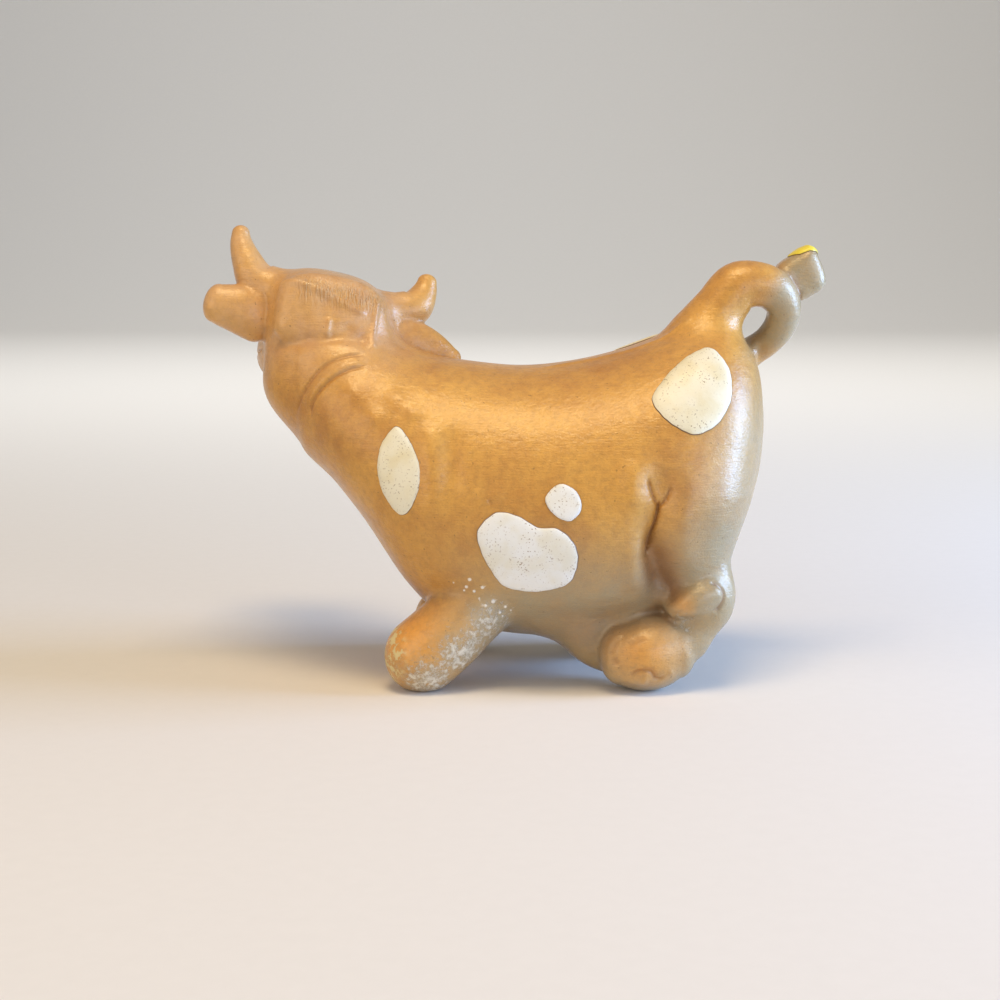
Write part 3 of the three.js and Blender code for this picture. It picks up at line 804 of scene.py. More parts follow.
NEAR_MARKS = (
    Mark(((-5.4, -23.7, 38.6), (-5.0, -23.8, 36.7), (-4.3, -24.0, 34.8)), -0.16, 0.28, 1.5, 0.2),
    Mark(((-7.6, -23.5, 37.2), (-5.0, -23.8, 36.7), (-2.0, -24.0, 37.4)), 0.22, 1.4),
    Mark(((-15.4, -18.4, 49.5), (-14.8, -21.4, 43.0), (-15.0, -22.4, 37.7),
          (-16.0, -22.2, 31.0)), 0.50, 2.2, 5.0),
    Mark(((-12.0, -19.4, 49.0), (-11.2, -22.4, 42.0), (-11.6, -23.4, 35.7)), -0.45, 2.1, 5.0, 0.0),
    Mark(((-25.4, -16.0, 49.6),), 0.50, 1.9),
    Mark(((-29.2, -13.6, 53.4),), 0.40, 1.8),
    Mark(((-21.6, -17.2, 54.4),), 0.45, 2.1),
    Mark(((-18.4, -17.6, 51.0),), 0.35, 1.6),
    Mark(((-27.6, -10.0, 60.6), (-31.2, -10.0, 59.7), (-33.5, -10.0, 58.5), (-35.9, -9.6, 55.9),
          (-38.0, -9.0, 52.7), (-38.9, -8.4, 50.7)), -0.24, 0.40, 2.5, 0.40),
    Mark(((-27.4, -11.0, 59.4), (-31.4, -11.0, 58.0), (-34.4, -11.0, 55.6),
          (-37.0, -10.0, 51.6)), 0.24, 0.90, 2.5),
    Mark(((-27.3, -11.0, 58.2), (-29.9, -11.0, 57.3), (-31.7, -11.0, 56.3), (-34.1, -11.0, 53.9),
          (-35.6, -11.0, 51.9), (-36.1, -11.0, 49.8)), -0.32, 0.38, 2.5, 0.45),
    Mark(((-43.4, -4.0, 63.3), (-39.8, -6.0, 62.5), (-36.2, -6.0, 62.1), (-32.1, -6.0, 62.3),
          (-27.9, -6.0, 62.1)), -0.70, 1.3, 2.0, 0.2),
    Mark(((-40.6, -5.0, 66.7),), 1.10, 2.2),
    Mark(((-37.8, -6.0, 64.2),), -0.45, 1.1, 1.5, 0.3),
    Mark(((-34.4, -6.0, 67.2), (-34.5, -7.0, 63.0)), 0.45, 0.55, 1.2),
    Mark(((-31.4, -6.0, 66.6), (-30.9, -7.0, 63.8)), -0.40, 1.5, 1.5, 0.1),
    Mark(((-26.5, -3.0, 70.3), (-26.3, -5.0, 66.6), (-26.4, -7.0, 63.6),
          (-26.5, -8.0, 61.0)), 0.40, 0.65, 1.4),
    Mark(((-43.9, -4.0, 72.9), (-40.0, -5.0, 72.6), (-35.2, -5.5, 71.7), (-31.7, -5.5, 70.0),
          (-27.8, -5.0, 67.6)), 0.45, 0.90, 2.0),
    Mark(((5.0, -4.0, 58.6), (12.2, -3.6, 59.2), (17.4, -4.0, 60.4), (23.5, -4.4, 62.4), (28.6, -4.6, 64.9),
          (32.5, -5.0, 69.0)), 0.25, 0.8, 5.0),
    Mark(((50.6, 1.0, 75.0), (51.8, 1.8, 73.6), (52.9, 2.8, 71.8), (53.4, 3.6, 70.2)), -0.22, 0.50, 1.0, 0.3),
)
SPLASHES = (
    (-8.3, 21.4, 0.34), (-8.9, 19.9, 0.30), (-7.5, 19.1, 0.27), (-6.0, 19.9, 0.33), (-9.3, 19.2, 0.20),
    (-5.5, 16.5, 0.27), (-4.1, 17.2, 0.38), (-2.9, 15.0, 0.27), (-1.9, 16.0, 0.28), (-4.5, 15.6, 0.19),
    (-2.4, 14.2, 0.18), (-0.9, 15.2, 0.19), (-6.6, 17.8, 0.16), (-11.2, 20.6, 0.15),
)


def every_mark() -> list[Mark]:
    """All marks: those of the near flank, and the flank's own once more on the far one."""
    far = [mark.mirrored(REAR_SHIFT) for mark in FLANK_MARKS]
    return [*FLANK_MARKS, *far, *NEAR_MARKS]


# Surfaces


@dataclass
class Skin:
    """A triangle surface with numbers kept on its points.

    Attributes:
        points: rows of x, y, z in the cow's millimetres.
        faces: rows of three point numbers.
        values: a number for each point, by name.
        rim: which points lie on a cut.
    """

    points: Array
    faces: Array
    values: dict[str, Array] = field(default_factory=dict)
    rim: Array | None = None

    def edges(self) -> Array:
        """Every edge once, as rows of two point numbers."""
        pairs = np.vstack([self.faces[:, [0, 1]], self.faces[:, [1, 2]], self.faces[:, [2, 0]]])
        pairs.sort(axis=1)
        keys = np.unique(pairs[:, 0].astype(np.int64) * len(self.points) + pairs[:, 1])
        return np.stack([keys // len(self.points), keys % len(self.points)], axis=1)

    def neighbour_mean(self, rows: Array, edges: Array) -> Array:
        """The mean of each point's neighbours.

        Args:
            rows: a number or a row of numbers for each point.
            edges: rows of two point numbers.

        Returns:
            The means, in the shape of rows.
        """
        count = len(self.points)
        degree = np.bincount(edges.ravel(), minlength=count)
        columns = []
        for column in rows.reshape(count, -1).T:
            total = np.bincount(edges[:, 0], column[edges[:, 1]], count)
            total += np.bincount(edges[:, 1], column[edges[:, 0]], count)
            columns.append(total / np.maximum(degree, 1))
        return np.stack(columns, axis=1).reshape(rows.shape)

    def normals(self) -> Array:
        """Point normals: the mean of the faces round a point, by area."""
        corner = self.points[self.faces]
        normal = np.cross(corner[:, 1] - corner[:, 0], corner[:, 2] - corner[:, 0])
        total = np.stack([
            sum(np.bincount(self.faces[:, k], normal[:, axis], len(self.points)) for k in range(3))
            for axis in range(3)
        ], axis=1)
        return unit(total)

    def refined(self, wanted: Array) -> "Skin":
        """The skin with every edge halved whose two ends are wanted.

        A triangle with three wanted corners becomes four, one with two becomes two.

        Args:
            wanted: a yes or no for each point.

        Returns:
            The finer skin; numbers kept on the points are dropped.
        """
        base = len(self.points)
        count = wanted[self.faces].sum(1)
        edges = self.edges()
        edges = edges[wanted[edges].all(axis=1)]
        keys = edges[:, 0].astype(np.int64) * base + edges[:, 1]

        def middle(one: Array, other: Array) -> Array:
            """Numbers of the new points between two rows of point numbers."""
            low, high = np.minimum(one, other), np.maximum(one, other)
            return base + np.searchsorted(keys, low.astype(np.int64) * base + high)

        a, b, c = self.faces[count == 3].T
        ab, bc, ca = middle(a, b), middle(b, c), middle(c, a)
        two = self.faces[count == 2]
        start = np.argmin(wanted[two], axis=1)[:, None]
        free, d, e = np.take_along_axis(two, (start + np.arange(3)) % 3, axis=1).T
        de = middle(d, e)
        faces = [self.faces[count < 2]]
        for corners in ((a, ab, ca), (ab, b, bc), (ca, bc, c), (ab, bc, ca), (free, d, de), (free, de, e)):
            faces.append(np.stack(corners, axis=1))
        return Skin(np.vstack([self.points, self.points[edges].mean(axis=1)]), np.vstack(faces))

    def part(self, keep: Array, depth: float = 1.5) -> "Skin":
        """The part of the skin where a number kept on the points is positive, closed with a cap.

        A triangle that the zero line crosses is cut there, at the place on each edge where the
        number passes zero. Each round of the cut is closed with a fan from its middle, which
        lies inside the clay.

        Args:
            keep: one number for each point.
            depth: how far under the skin the fan's middle lies, in millimetres.

        Returns:
            The closed part, with its cut edge in rim.
        """
        inside = keep > 0
        faces = self.faces
        state = inside[faces]
        count = state.sum(1)
        base = len(self.points)
        pairs = np.vstack([faces[:, [0, 1]], faces[:, [1, 2]], faces[:, [2, 0]]])
        pairs.sort(axis=1)
        pairs = pairs[inside[pairs[:, 0]] != inside[pairs[:, 1]]]
        keys, first = np.unique(pairs[:, 0].astype(np.int64) * base + pairs[:, 1], return_index=True)
        ends = pairs[first]
        share = (keep[ends[:, 0]] / (keep[ends[:, 0]] - keep[ends[:, 1]]))[:, None]

        def between(rows: Array) -> Array:
            """Numbers kept on the points, carried to where the zero line crosses the edges."""
            flat = rows.reshape(base, -1)
            mixed = flat[ends[:, 0]] * (1 - share) + flat[ends[:, 1]] * share
            return mixed.reshape(-1, *rows.shape[1:])

        def crossing(one: Array, other: Array) -> Array:
            """Numbers of the cut points on the edges between two rows of point numbers."""
            low, high = np.minimum(one, other), np.maximum(one, other)
            return base + np.searchsorted(keys, low.astype(np.int64) * base + high)

        def turned(chosen: Array, lead: Array) -> Array:
            """Triangles turned so that their odd corner comes first."""
            start = np.argmax(lead, axis=1)[:, None]
            return np.take_along_axis(chosen, (start + np.arange(3)) % 3, axis=1)

        one = turned(faces[count == 1], state[count == 1])
        two = turned(faces[count == 2], ~state[count == 2])
        one_b, one_c = crossing(one[:, 0], one[:, 1]), crossing(one[:, 0], one[:, 2])
        two_b, two_c = crossing(two[:, 0], two[:, 1]), crossing(two[:, 0], two[:, 2])
        cut = between(self.points)
        follows = np.arange(len(keys))
        follows[np.concatenate([one_b, two_c]) - base] = np.concatenate([one_c, two_b]) - base
        label, jump = np.arange(len(keys)), follows.copy()
        for _ in range(16):
            label = np.minimum(label, label[jump])
            jump = jump[jump]
        loops, loop = np.unique(label, return_inverse=True)
        size = np.bincount(loop)
        normal = self.normals()
        inward = between(normal)
        sunk = cut - depth * inward
        centre = np.stack([np.bincount(loop, sunk[:, k]) / size for k in range(3)], axis=1)
        middle = base + len(keys) + loop
        cap = np.vstack([
            np.stack([one_c, one_b, middle[one_b - base]], axis=1),
            np.stack([two_b, two_c, middle[two_b - base]], axis=1),
        ])
        new_faces = np.vstack([
            faces[count == 3],
            np.stack([one[:, 0], one_b, one_c], axis=1),
            np.stack([two_b, two[:, 1], two[:, 2]], axis=1),
            np.stack([two_b, two[:, 2], two_c], axis=1),
            cap,
        ])
        points = np.vstack([self.points, cut, centre])
        values = {}
        for name, rows in self.values.items():
            values[name] = np.concatenate([rows, between(rows), np.zeros(len(loops))])
        rim = np.zeros(len(points), bool)
        rim[base:] = True
        if self.rim is not None:
            rim[:base] = self.rim
        used = np.zeros(len(points), bool)
        used[new_faces] = True
        number = np.cumsum(used) - 1
        return Skin(points[used], number[new_faces], {k: v[used] for k, v in values.items()}, rim[used])


def surface_of(solid: Callable[[Array], Array], wanted: Callable[[Array], Array], low: Array, high: Array,
               cell: float) -> Skin:
    """The zero surface of a distance field, one point in each cube that the surface crosses.

    The field is worked out on a coarse lattice, and again at cell size only near the surface.
    A point is the mean of the places where the cube's edges pass zero, and four cubes round
    a crossed edge give one face.

    Args:
        solid: distance to the skin, negative inside.
        wanted: which points of space matter; the rest counts as outside.
        low: lowest corner of the space.
        high: highest corner.
        cell: edge of a cube, in millimetres.

    Returns:
        The surface, with its points on the skin and evenly spread.
    """
    coarse = 3
    shape = np.ceil((high - low) / (coarse * cell)).astype(int) * coarse + 1

    def lattice(step: int) -> Array:
        """Every step-th corner of the cubes."""
        axes = [low[k] + cell * step * np.arange((shape[k] - 1) // step + 1) for k in range(3)]
        return np.stack(np.meshgrid(*axes, indexing="ij"), axis=-1).reshape(-1, 3)

    def measured(points: Array) -> Array:
        """The field at points, and a far distance where it doesn't matter."""
        result = np.full(len(points), FAR)
        chosen = np.flatnonzero(wanted(points))
        for part in np.array_split(chosen, max(1, len(chosen) // 150000)):
            result[part] = solid(points[part])
        return result

    values = measured(lattice(coarse)).reshape((shape - 1) // coarse + 1)
    for axis in range(3):
        place = np.arange(shape[axis]) / coarse
        start = np.minimum(place.astype(int), values.shape[axis] - 2)
        share = (place - start).reshape([-1 if k == axis else 1 for k in range(3)])
        values = np.take(values, start, axis) * (1 - share) + np.take(values, start + 1, axis) * share
    flat = values.ravel()
    band = np.flatnonzero(np.abs(flat) < 1.3 + 1.6 * cell)
    index = np.stack(np.unravel_index(band, shape), axis=1)
    flat[band] = measured(low + cell * index)
    values = flat.reshape(shape)

    inside = values < 0
    corners = [(i, j, k) for i in (0, 1) for j in (0, 1) for k in (0, 1)]
    wide, deep, high_count = shape - 1
    total = sum(inside[i:wide + i, j:deep + j, k:high_count + k].astype(np.int8) for i, j, k in corners)
    cube = np.stack(np.nonzero((total > 0) & (total < 8)), axis=1)
    number = np.full(shape - 1, -1, np.int64)
    number[tuple(cube.T)] = np.arange(len(cube))
    value = {corner: values[tuple((cube + corner).T)] for corner in corners}
    place = np.zeros((len(cube), 3))
    crossings = np.zeros(len(cube))
    for corner in corners:
        for axis in range(3):
            if corner[axis]:
                continue
            other = tuple(1 if k == axis else corner[k] for k in range(3))
            crossed = (value[corner] < 0) != (value[other] < 0)
            share = value[corner][crossed] / (value[corner][crossed] - value[other][crossed])
            spot = np.tile(np.array(corner, float), (crossed.sum(), 1))
            spot[:, axis] = share
            place[crossed] += spot
            crossings[crossed] += 1
    points = low + cell * (cube + place / crossings[:, None])

    quads = []
    for axis in range(3):
        one, two = (axis + 1) % 3, (axis + 2) % 3
        size = [slice(1, shape[k] - 1) for k in range(3)]
        size[axis] = slice(0, shape[axis] - 1)
        ahead = list(size)
        ahead[axis] = slice(1, shape[axis])
        start, end = inside[tuple(size)], inside[tuple(ahead)]
        spot = np.stack(np.nonzero(start != end), axis=1)
        leaving = start[tuple(spot.T)]
        spot += np.array([0 if k == axis else 1 for k in range(3)])
        ring = []
        for back_one, back_two in ((1, 1), (0, 1), (0, 0), (1, 0)):
            cell_of = spot.copy()
            cell_of[:, one] -= back_one
            cell_of[:, two] -= back_two
            ring.append(number[tuple(cell_of.T)])
        ring = np.stack(ring, axis=1)
        ring[~leaving] = ring[~leaving][:, ::-1]
        quads.append(ring)
    quads = np.vstack(quads)
    corner = points[quads]
    first = ((corner[:, 0] - corner[:, 2]) ** 2).sum(1) < ((corner[:, 1] - corner[:, 3]) ** 2).sum(1)
    faces = np.vstack([
        quads[first][:, [0, 1, 2]], quads[first][:, [0, 2, 3]],
        quads[~first][:, [0, 1, 3]], quads[~first][:, [1, 2, 3]],
    ])
    skin = Skin(points, faces)
    edges = skin.edges()
    for _ in range(4):
        normal = skin.normals()
        pull = skin.neighbour_mean(skin.points, edges) - skin.points
        pull -= (pull * normal).sum(1, keepdims=True) * normal
        skin.points = skin.points + 0.6 * pull
    near = wanted(skin.points)
    for _ in range(2):
        skin.points[near] = settled(solid, skin.points[near])
    pull = skin.neighbour_mean(skin.points, edges) - skin.points
    skin.points = skin.points + 0.5 * pull
    return skin


def slope_of(solid: Callable[[Array], Array], points: Array) -> tuple[Array, Array]:
    """The field and its slope at points, by small steps along each axis.

    Args:
        solid: distance field.
        points: rows of x, y, z.

    Returns:
        Distances, and rows of slopes along x, y and z.
    """
    step = 0.02
    here = solid(points)
    slope = np.stack([(solid(points + step * np.eye(3)[axis]) - here) / step for axis in range(3)], axis=1)
    return here, slope


def settled(solid: Callable[[Array], Array], points: Array) -> Array:
    """Points moved onto the skin by one step along the field's slope, at most 1 mm.

    Args:
        solid: distance field.
        points: rows of x, y, z near its zero surface.

    Returns:
        The moved points: each less its distance times the slope over the slope squared.
    """
    here, slope = slope_of(solid, points)
    size = np.maximum((slope**2).sum(1), 0.05)
    return points - np.clip(here / size, -1.0, 1.0)[:, None] * slope


# Placing and dressing


@dataclass(frozen=True)
class CowFrame:
    """Where the cow's own millimetres lie in the scene, read off the cork's place.

    Attributes:
        shift: from the cow's zero point to the scene's, in millimetres.
    """

    shift: Array

    @staticmethod
    def of_cork(fill_x: float) -> "CowFrame":
        """The frame in which the cork stands on the filling hole's axis."""
        low, high = (np.array(corner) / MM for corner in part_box("cork_stopper"))
        middle = (low + high) / 2
        return CowFrame(np.array([middle[0] - fill_x, middle[1], 0.0]))

    def metres(self, points: Array) -> Array:
        """Points of the cow in scene metres."""
        return (points + self.shift) * MM


def linear(colour: str) -> tuple[float, float, float, float]:
    """An sRGB hex colour as the linear numbers that shaders work in."""
    channels = [int(colour[k:k + 2], 16) / 255 for k in (1, 3, 5)]
    return (*(c / 12.92 if c <= 0.04045 else ((c + 0.055) / 1.055) ** 2.4 for c in channels), 1.0)


def make_object(name: str, skin: Skin, place: CowFrame, material: bpy.types.Material) -> bpy.types.Object:
    """A Blender object of a skin, with its numbers as attributes and its cut edges sharp.

    Args:
        name: the object's name.
        skin: the surface.
        place: where the cow stands.
        material: its finish.

    Returns:
        The linked object.
    """
    mesh = bpy.data.meshes.new(name)
    mesh.vertices.add(len(skin.points))
    mesh.vertices.foreach_set("co", place.metres(skin.points).astype(np.float32).ravel())
    mesh.loops.add(3 * len(skin.faces))
    mesh.loops.foreach_set("vertex_index", skin.faces.astype(np.int32).ravel())
    mesh.polygons.add(len(skin.faces))
    mesh.polygons.foreach_set("loop_start", np.arange(0, 3 * len(skin.faces), 3, dtype=np.int32))
    mesh.update(calc_edges=True)
    mesh.shade_smooth()
    for label, numbers in skin.values.items():
        layer = mesh.attributes.new(label, "FLOAT", "POINT")
        layer.data.foreach_set("value", numbers.astype(np.float32))
    if skin.rim is not None:
        ends = np.zeros(2 * len(mesh.edges), np.int32)
        mesh.edges.foreach_get("vertices", ends)
        sharp = mesh.attributes.new("sharp_edge", "BOOLEAN", "EDGE")
        sharp.data.foreach_set("value", skin.rim[ends.reshape(-1, 2)].all(axis=1))
    mesh.materials.append(material)
    piece = bpy.data.objects.new(name, mesh)
    bpy.context.scene.collection.objects.link(piece)
    log.info("%s: %d points, %d triangles", name, len(skin.points), len(skin.faces))
    return piece


def stand_in(piece: bpy.types.Object, body: str, slot: str, *nodes: str) -> None:
    """Puts a piece on its body and hides the CAD nodes that it stands for.

    Args:
        piece: the piece.
        body: the body that it rides on.
        slot: not used.
        *nodes: the CAD nodes that it replaces.
    """
    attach(piece, body)
    if nodes:
        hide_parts(*nodes)


def grid_faces(rings: int, sides: int) -> Array:
    """Triangles between rings of points, each ring closed on itself, outward for rising rings.

    Args:
        rings: how many rings.
        sides: points in each.

    Returns:
        Rows of three point numbers.
    """
    ring, side = np.meshgrid(np.arange(rings - 1), np.arange(sides), indexing="ij")
    after = (side + 1) % sides
    a, b = ring * sides + side, ring * sides + after
    c, d = a + sides, b + sides
    return np.concatenate([
        np.stack([a, b, d], axis=-1).reshape(-1, 3), np.stack([a, d, c], axis=-1).reshape(-1, 3)])


def closed_rings(rings: Array, first_pole: Array, last_pole: Array) -> tuple[Array, Array]:
    """Rings of points closed at both ends with a pole.

    Args:
        rings: array of rings, sides and x, y, z.
        first_pole: the point that closes the first ring.
        last_pole: the point that closes the last ring.

    Returns:
        Points and triangles.
    """
    count, sides, _ = rings.shape
    points = np.vstack([rings.reshape(-1, 3), first_pole, last_pole])
    side = np.arange(sides)
    after = (side + 1) % sides
    first, last = count * sides, count * sides + 1
    top = (count - 1) * sides
    faces = np.vstack([
        grid_faces(count, sides),
        np.stack([np.full(sides, first), after, side], axis=1),
        np.stack([np.full(sides, last), top + side, top + after], axis=1),
    ])
    return points, faces


# Finishes


def per_mm(size: float) -> float:
    """The texture scale that gives features of a size in millimetres."""
    return 1.0 / (size * MM)


def add_node(tree: bpy.types.NodeTree, kind: str, settings: dict | None = None,
             inputs: dict | None = None) -> bpy.types.Node:
    """Adds a node with its settings and links.

    Args:
        tree: the material's node tree.
        kind: Blender's name for the node.
        settings: properties to set on it.
        inputs: for each input, by name or number, a value or the output socket that feeds it.

    Returns:
        The new node.
    """
    made = tree.nodes.new(kind)
    for name, value in (settings or {}).items():
        setattr(made, name, value)
    for name, value in (inputs or {}).items():
        if isinstance(value, bpy.types.NodeSocket):
            tree.links.new(value, made.inputs[name])
        else:
            made.inputs[name].default_value = value
    return made


@dataclass(frozen=True)
class Clouds:
    """A cloudy pattern of numbers round 0.5, on the object's own coordinates.

    Attributes:
        size: size of its features in millimetres.
        detail: how many finer layers are added.
        rough: how strong the finer layers are.
        stretch: how much denser the pattern is along each axis.
        shift: moves the pattern, so that no two are alike.
    """

    size: float
    detail: float = 3.0
    rough: float = 0.5
    stretch: tuple = (1.0, 1.0, 1.0)
    shift: tuple = (0.0, 0.0, 0.0)

    def numbers(self, tree: bpy.types.NodeTree) -> bpy.types.NodeSocket:
        """The pattern as it is."""
        place = add_node(tree, "ShaderNodeTexCoord").outputs["Object"]
        place = add_node(tree, "ShaderNodeMapping", {}, {
            "Vector": place, "Scale": self.stretch, "Location": self.shift}).outputs[0]
        return add_node(tree, "ShaderNodeTexNoise", {}, {
            "Vector": place, "Scale": per_mm(self.size), "Detail": self.detail,
            "Roughness": self.rough}).outputs["Fac"]

    def share(self, tree: bpy.types.NodeTree, low: float, high: float, most: float = 1.0,
              least: float = 0.0) -> bpy.types.NodeSocket:
        """The pattern as a share: a smooth step between two of its numbers.

        Args:
            tree: the material's node tree.
            low: number of the pattern at which the step starts.
            high: number at which it ends.
            most: share at high.
            least: share at low.

        Returns:
            The share's socket.
        """
        return add_node(tree, "ShaderNodeMapRange", {"interpolation_type": "SMOOTHSTEP"}, {
            "Value": self.numbers(tree), "From Min": low, "From Max": high,
            "To Min": least, "To Max": most}).outputs[0]


@dataclass(frozen=True)
class Finish:
    """A material with its own node tree. Subclasses say what the finish is."""

    name: str

    def build(self) -> bpy.types.Material:
        """Makes the material and paints it."""
        material = bpy.data.materials.new(self.name)
        material.use_nodes = True
        tree = material.node_tree
        tree.nodes.clear()
        shader = self.paint(tree)
        add_node(tree, "ShaderNodeOutputMaterial", {}, {"Surface": shader.outputs[0]})
        return material

    def paint(self, tree: bpy.types.NodeTree) -> bpy.types.Node:
        """Adds the nodes of the finish.

        Args:
            tree: the material's empty node tree.

        Returns:
            The shader.
        """
        raise NotImplementedError

    @staticmethod
    def joint_share(tree: bpy.types.NodeTree, factors: tuple) -> bpy.types.NodeSocket:
        """Shares multiplied together.

        Args:
            tree: the node tree.
            factors: each a socket, a number, or the name of a number kept on the mesh.

        Returns:
            Their product.
        """
        sockets = [
            add_node(tree, "ShaderNodeAttribute", {"attribute_name": factor}).outputs["Fac"]
            if isinstance(factor, str) else factor for factor in factors]
        result = sockets[0]
        for factor in sockets[1:]:
            result = add_node(tree, "ShaderNodeMath", {"operation": "MULTIPLY"}, {
                0: result, 1: factor}).outputs[0]
        return result

    def layered(self, tree: bpy.types.NodeTree, base: str, layers: tuple) -> bpy.types.NodeSocket:
        """Colours laid one over another.

        Args:
            tree: the node tree.
            base: the lowest colour.
            layers: each a colour, then the factors of its share.

        Returns:
            The colour on top.
        """
        colour = linear(base)
        for top, *factors in layers:
            colour = add_node(tree, "ShaderNodeMix", {"data_type": "RGBA"}, {
                0: self.joint_share(tree, factors), 6: colour, 7: linear(top)}).outputs[2]
        return colour

    @staticmethod
    def relief(tree: bpy.types.NodeTree, rows: tuple) -> bpy.types.NodeSocket:
        """Fine relief laid one over another.

        Args:
            tree: the node tree.
            rows: for each its heights, its depth in millimetres, its strength, and whether it is cut in.

        Returns:
            The normal on top.
        """
        normal = None
        for heights, depth, strength, cut_in in rows:
            inputs = {"Strength": strength, "Distance": depth * MM, "Height": heights}
            if normal is not None:
                inputs["Normal"] = normal
            normal = add_node(tree, "ShaderNodeBump", {"invert": cut_in}, inputs).outputs[0]
        return normal


@dataclass(frozen=True)
class WaxedSlip(Finish):
    """Cast earthenware under a brushed ochre slip, rubbed with wax by hand.

    To the eye: a warm satin skin, cloudy in tone, darker along the pressed lines with grime and in the
    hollows, the flank's valley and under the belly with painted shade; greyer low on the flank, at the
    rump's edge, on the thigh and the tail with painted shade and cool reflected light; lighter on the
    head, neck, feet and hock with painted warm light; pale where the slip has rubbed off.
    """

    ochre: str = "#CE9643"
    amber: str = "#B67B36"
    rubs: str = "#E0A94E"
    # Warm orange painted on the feet and the hock: painted light.
    painted_warm_light: str = "#EBA038"
    mottle: str = "#8F6234"
    # Grey painted over the ochre: painted shade and cool reflected light low on the flank, at the rump's
    # edge, on the thigh and the tail.
    grey_shade_and_reflection: str = "#9A9279"
    # Paler tone painted on the head and the top of the neck: painted light.
    painted_head_light: str = "#D3AC88"
    grain: str = "#E2AE54"
    # Darker brown of the creases and hollows: grime along the pressed lines, painted shade in the hollows,
    # the flank's valley and the web under the belly.
    recess: str = "#7A4226"
    dust: str = "#AFA78E"
    bare_clay: str = "#E4DCC8"
    old_slip: str = "#DCC890"
    splash: str = "#F0EADC"
    soot: str = "#4A2F1C"
    lustre: str = "#FFDF9E"
    ridge_pitch: float = 0.45

    def paint(self, tree: bpy.types.NodeTree) -> bpy.types.Node:
        """Layers slip, painted shade and light, grime and wear, then adds brush marks and grain as relief."""
        grain = Clouds(0.36, 3.0, 0.6)
        # Clouds that make the painted grey shade patchy.
        grey_shade_clouds = Clouds(5.0, 5.0, 0.65).share(tree, 0.15, 0.75, 1.0, 0.70)
        rubbed = self._rubbed(tree)
        veil = Clouds(2.4, 5.0, 0.66).share(tree, 0.30, 0.66, 0.80, 0.22)
        chips = self.joint_share(tree, (
            Clouds(1.5, 4.0, 0.65, shift=(0.9, 0.0, 0.2)).share(tree, 0.50, 0.54), "chips"))
        painted = add_node(tree, "ShaderNodeMapRange", {"interpolation_type": "SMOOTHSTEP"}, {
            "Value": self.joint_share(tree, ("paint",)), "From Min": 0.4, "From Max": 0.6}).outputs[0]
        colour = self.layered(tree, self.ochre, (
            (self.amber, Clouds(19.0).share(tree, 0.35, 0.68)),
            (self.rubs, Clouds(3.4, 5.0, 0.72, (1.0, 1.0, 0.7)).share(tree, 0.34, 0.68, 0.42)),
            # Painted warm light on the feet and the hock.
            (self.painted_warm_light, "painted_warm_light", 0.8),
            (self.mottle, Clouds(1.2, 4.0, 0.7, shift=(0.2, 0.0, 0.6)).share(tree, 0.40, 0.72, 0.34)),
            # Painted shade and cool reflected light, in grey.
            (self.grey_shade_and_reflection, "grey_shade_and_reflection", grey_shade_clouds, 0.92),
            # Painted light, paler, on the head and the top of the neck.
            (self.painted_head_light, "painted_head_light", Clouds(4.0, 4.0, 0.6, shift=(0.0, 0.7, 0.2)).share(
                tree, 0.25, 0.75, 0.52, 0.20)),
            (self.grain, grain.share(tree, 0.40, 0.75, 0.14)),
            # Painted shade in the hollows, with grime along the pressed lines.
            (self.recess, "recess", 0.72),
            (self.soot, Clouds(0.55, 0.0, 0.5, shift=(0.3, 0.1, 0.7)).share(tree, 0.81, 0.84, 0.4)),
            (self.dust, "wear", veil),
            (self.bare_clay, rubbed),
            (self.old_slip, chips),
            (self.splash, "splash"),
            (self.soot, painted),
        ))
        flaked = add_node(tree, "ShaderNodeMath", {"operation": "MAXIMUM"}, {0: rubbed, 1: chips}).outputs[0]
        rough = add_node(tree, "ShaderNodeMix", {}, {
            0: flaked, 2: Clouds(2.2, 4.0, 0.65).share(tree, 0.25, 0.75, 0.50, 0.34), 3: 0.72}).outputs[0]
        place = add_node(tree, "ShaderNodeTexCoord").outputs["Object"]
        ridges = add_node(tree, "ShaderNodeTexWave", {"wave_type": "BANDS", "bands_direction": "Z"}, {
            "Vector": place, "Scale": per_mm(self.ridge_pitch) / WAVES_PER_UNIT, "Distortion": 3.0,
            "Detail": 2.0, "Detail Scale": 0.5}).outputs["Fac"]
        combed = self.joint_share(tree, (
            "hair", Clouds(0.6, 2.0, 0.5, (1.6, 1.0, 0.16)).share(tree, 0.36, 0.66)))
        relief = self.relief(tree, (
            (Clouds(6.5, 2.0, 0.5, shift=(0.5, 0.1, 0.0)).numbers(tree), 0.70, 0.55, False),
            (Clouds(1.5, 4.0, 0.6, (0.45, 0.45, 1.2)).numbers(tree), 0.34, 0.7, False),
            (grain.numbers(tree), 0.10, 0.8, False),
            (ridges, 0.018, 0.5, False),
            (combed, 0.22, 1.0, True),
            (flaked, 0.10, 0.8, False),
        ))
        wax = self.relief(tree, ((Clouds(0.8, 4.0, 0.62, (0.7, 0.7, 1.1)).numbers(tree), 0.24, 0.6, False),))
        return add_node(tree, "ShaderNodeBsdfPrincipled", {}, {
            "Base Color": colour, "Roughness": rough, "IOR": 1.5, "Normal": relief,
            "Specular IOR Level": 0.75, "Specular Tint": linear(self.lustre),
            "Coat Weight": 0.65, "Coat Roughness": 0.20, "Coat IOR": 1.5, "Coat Normal": wax})

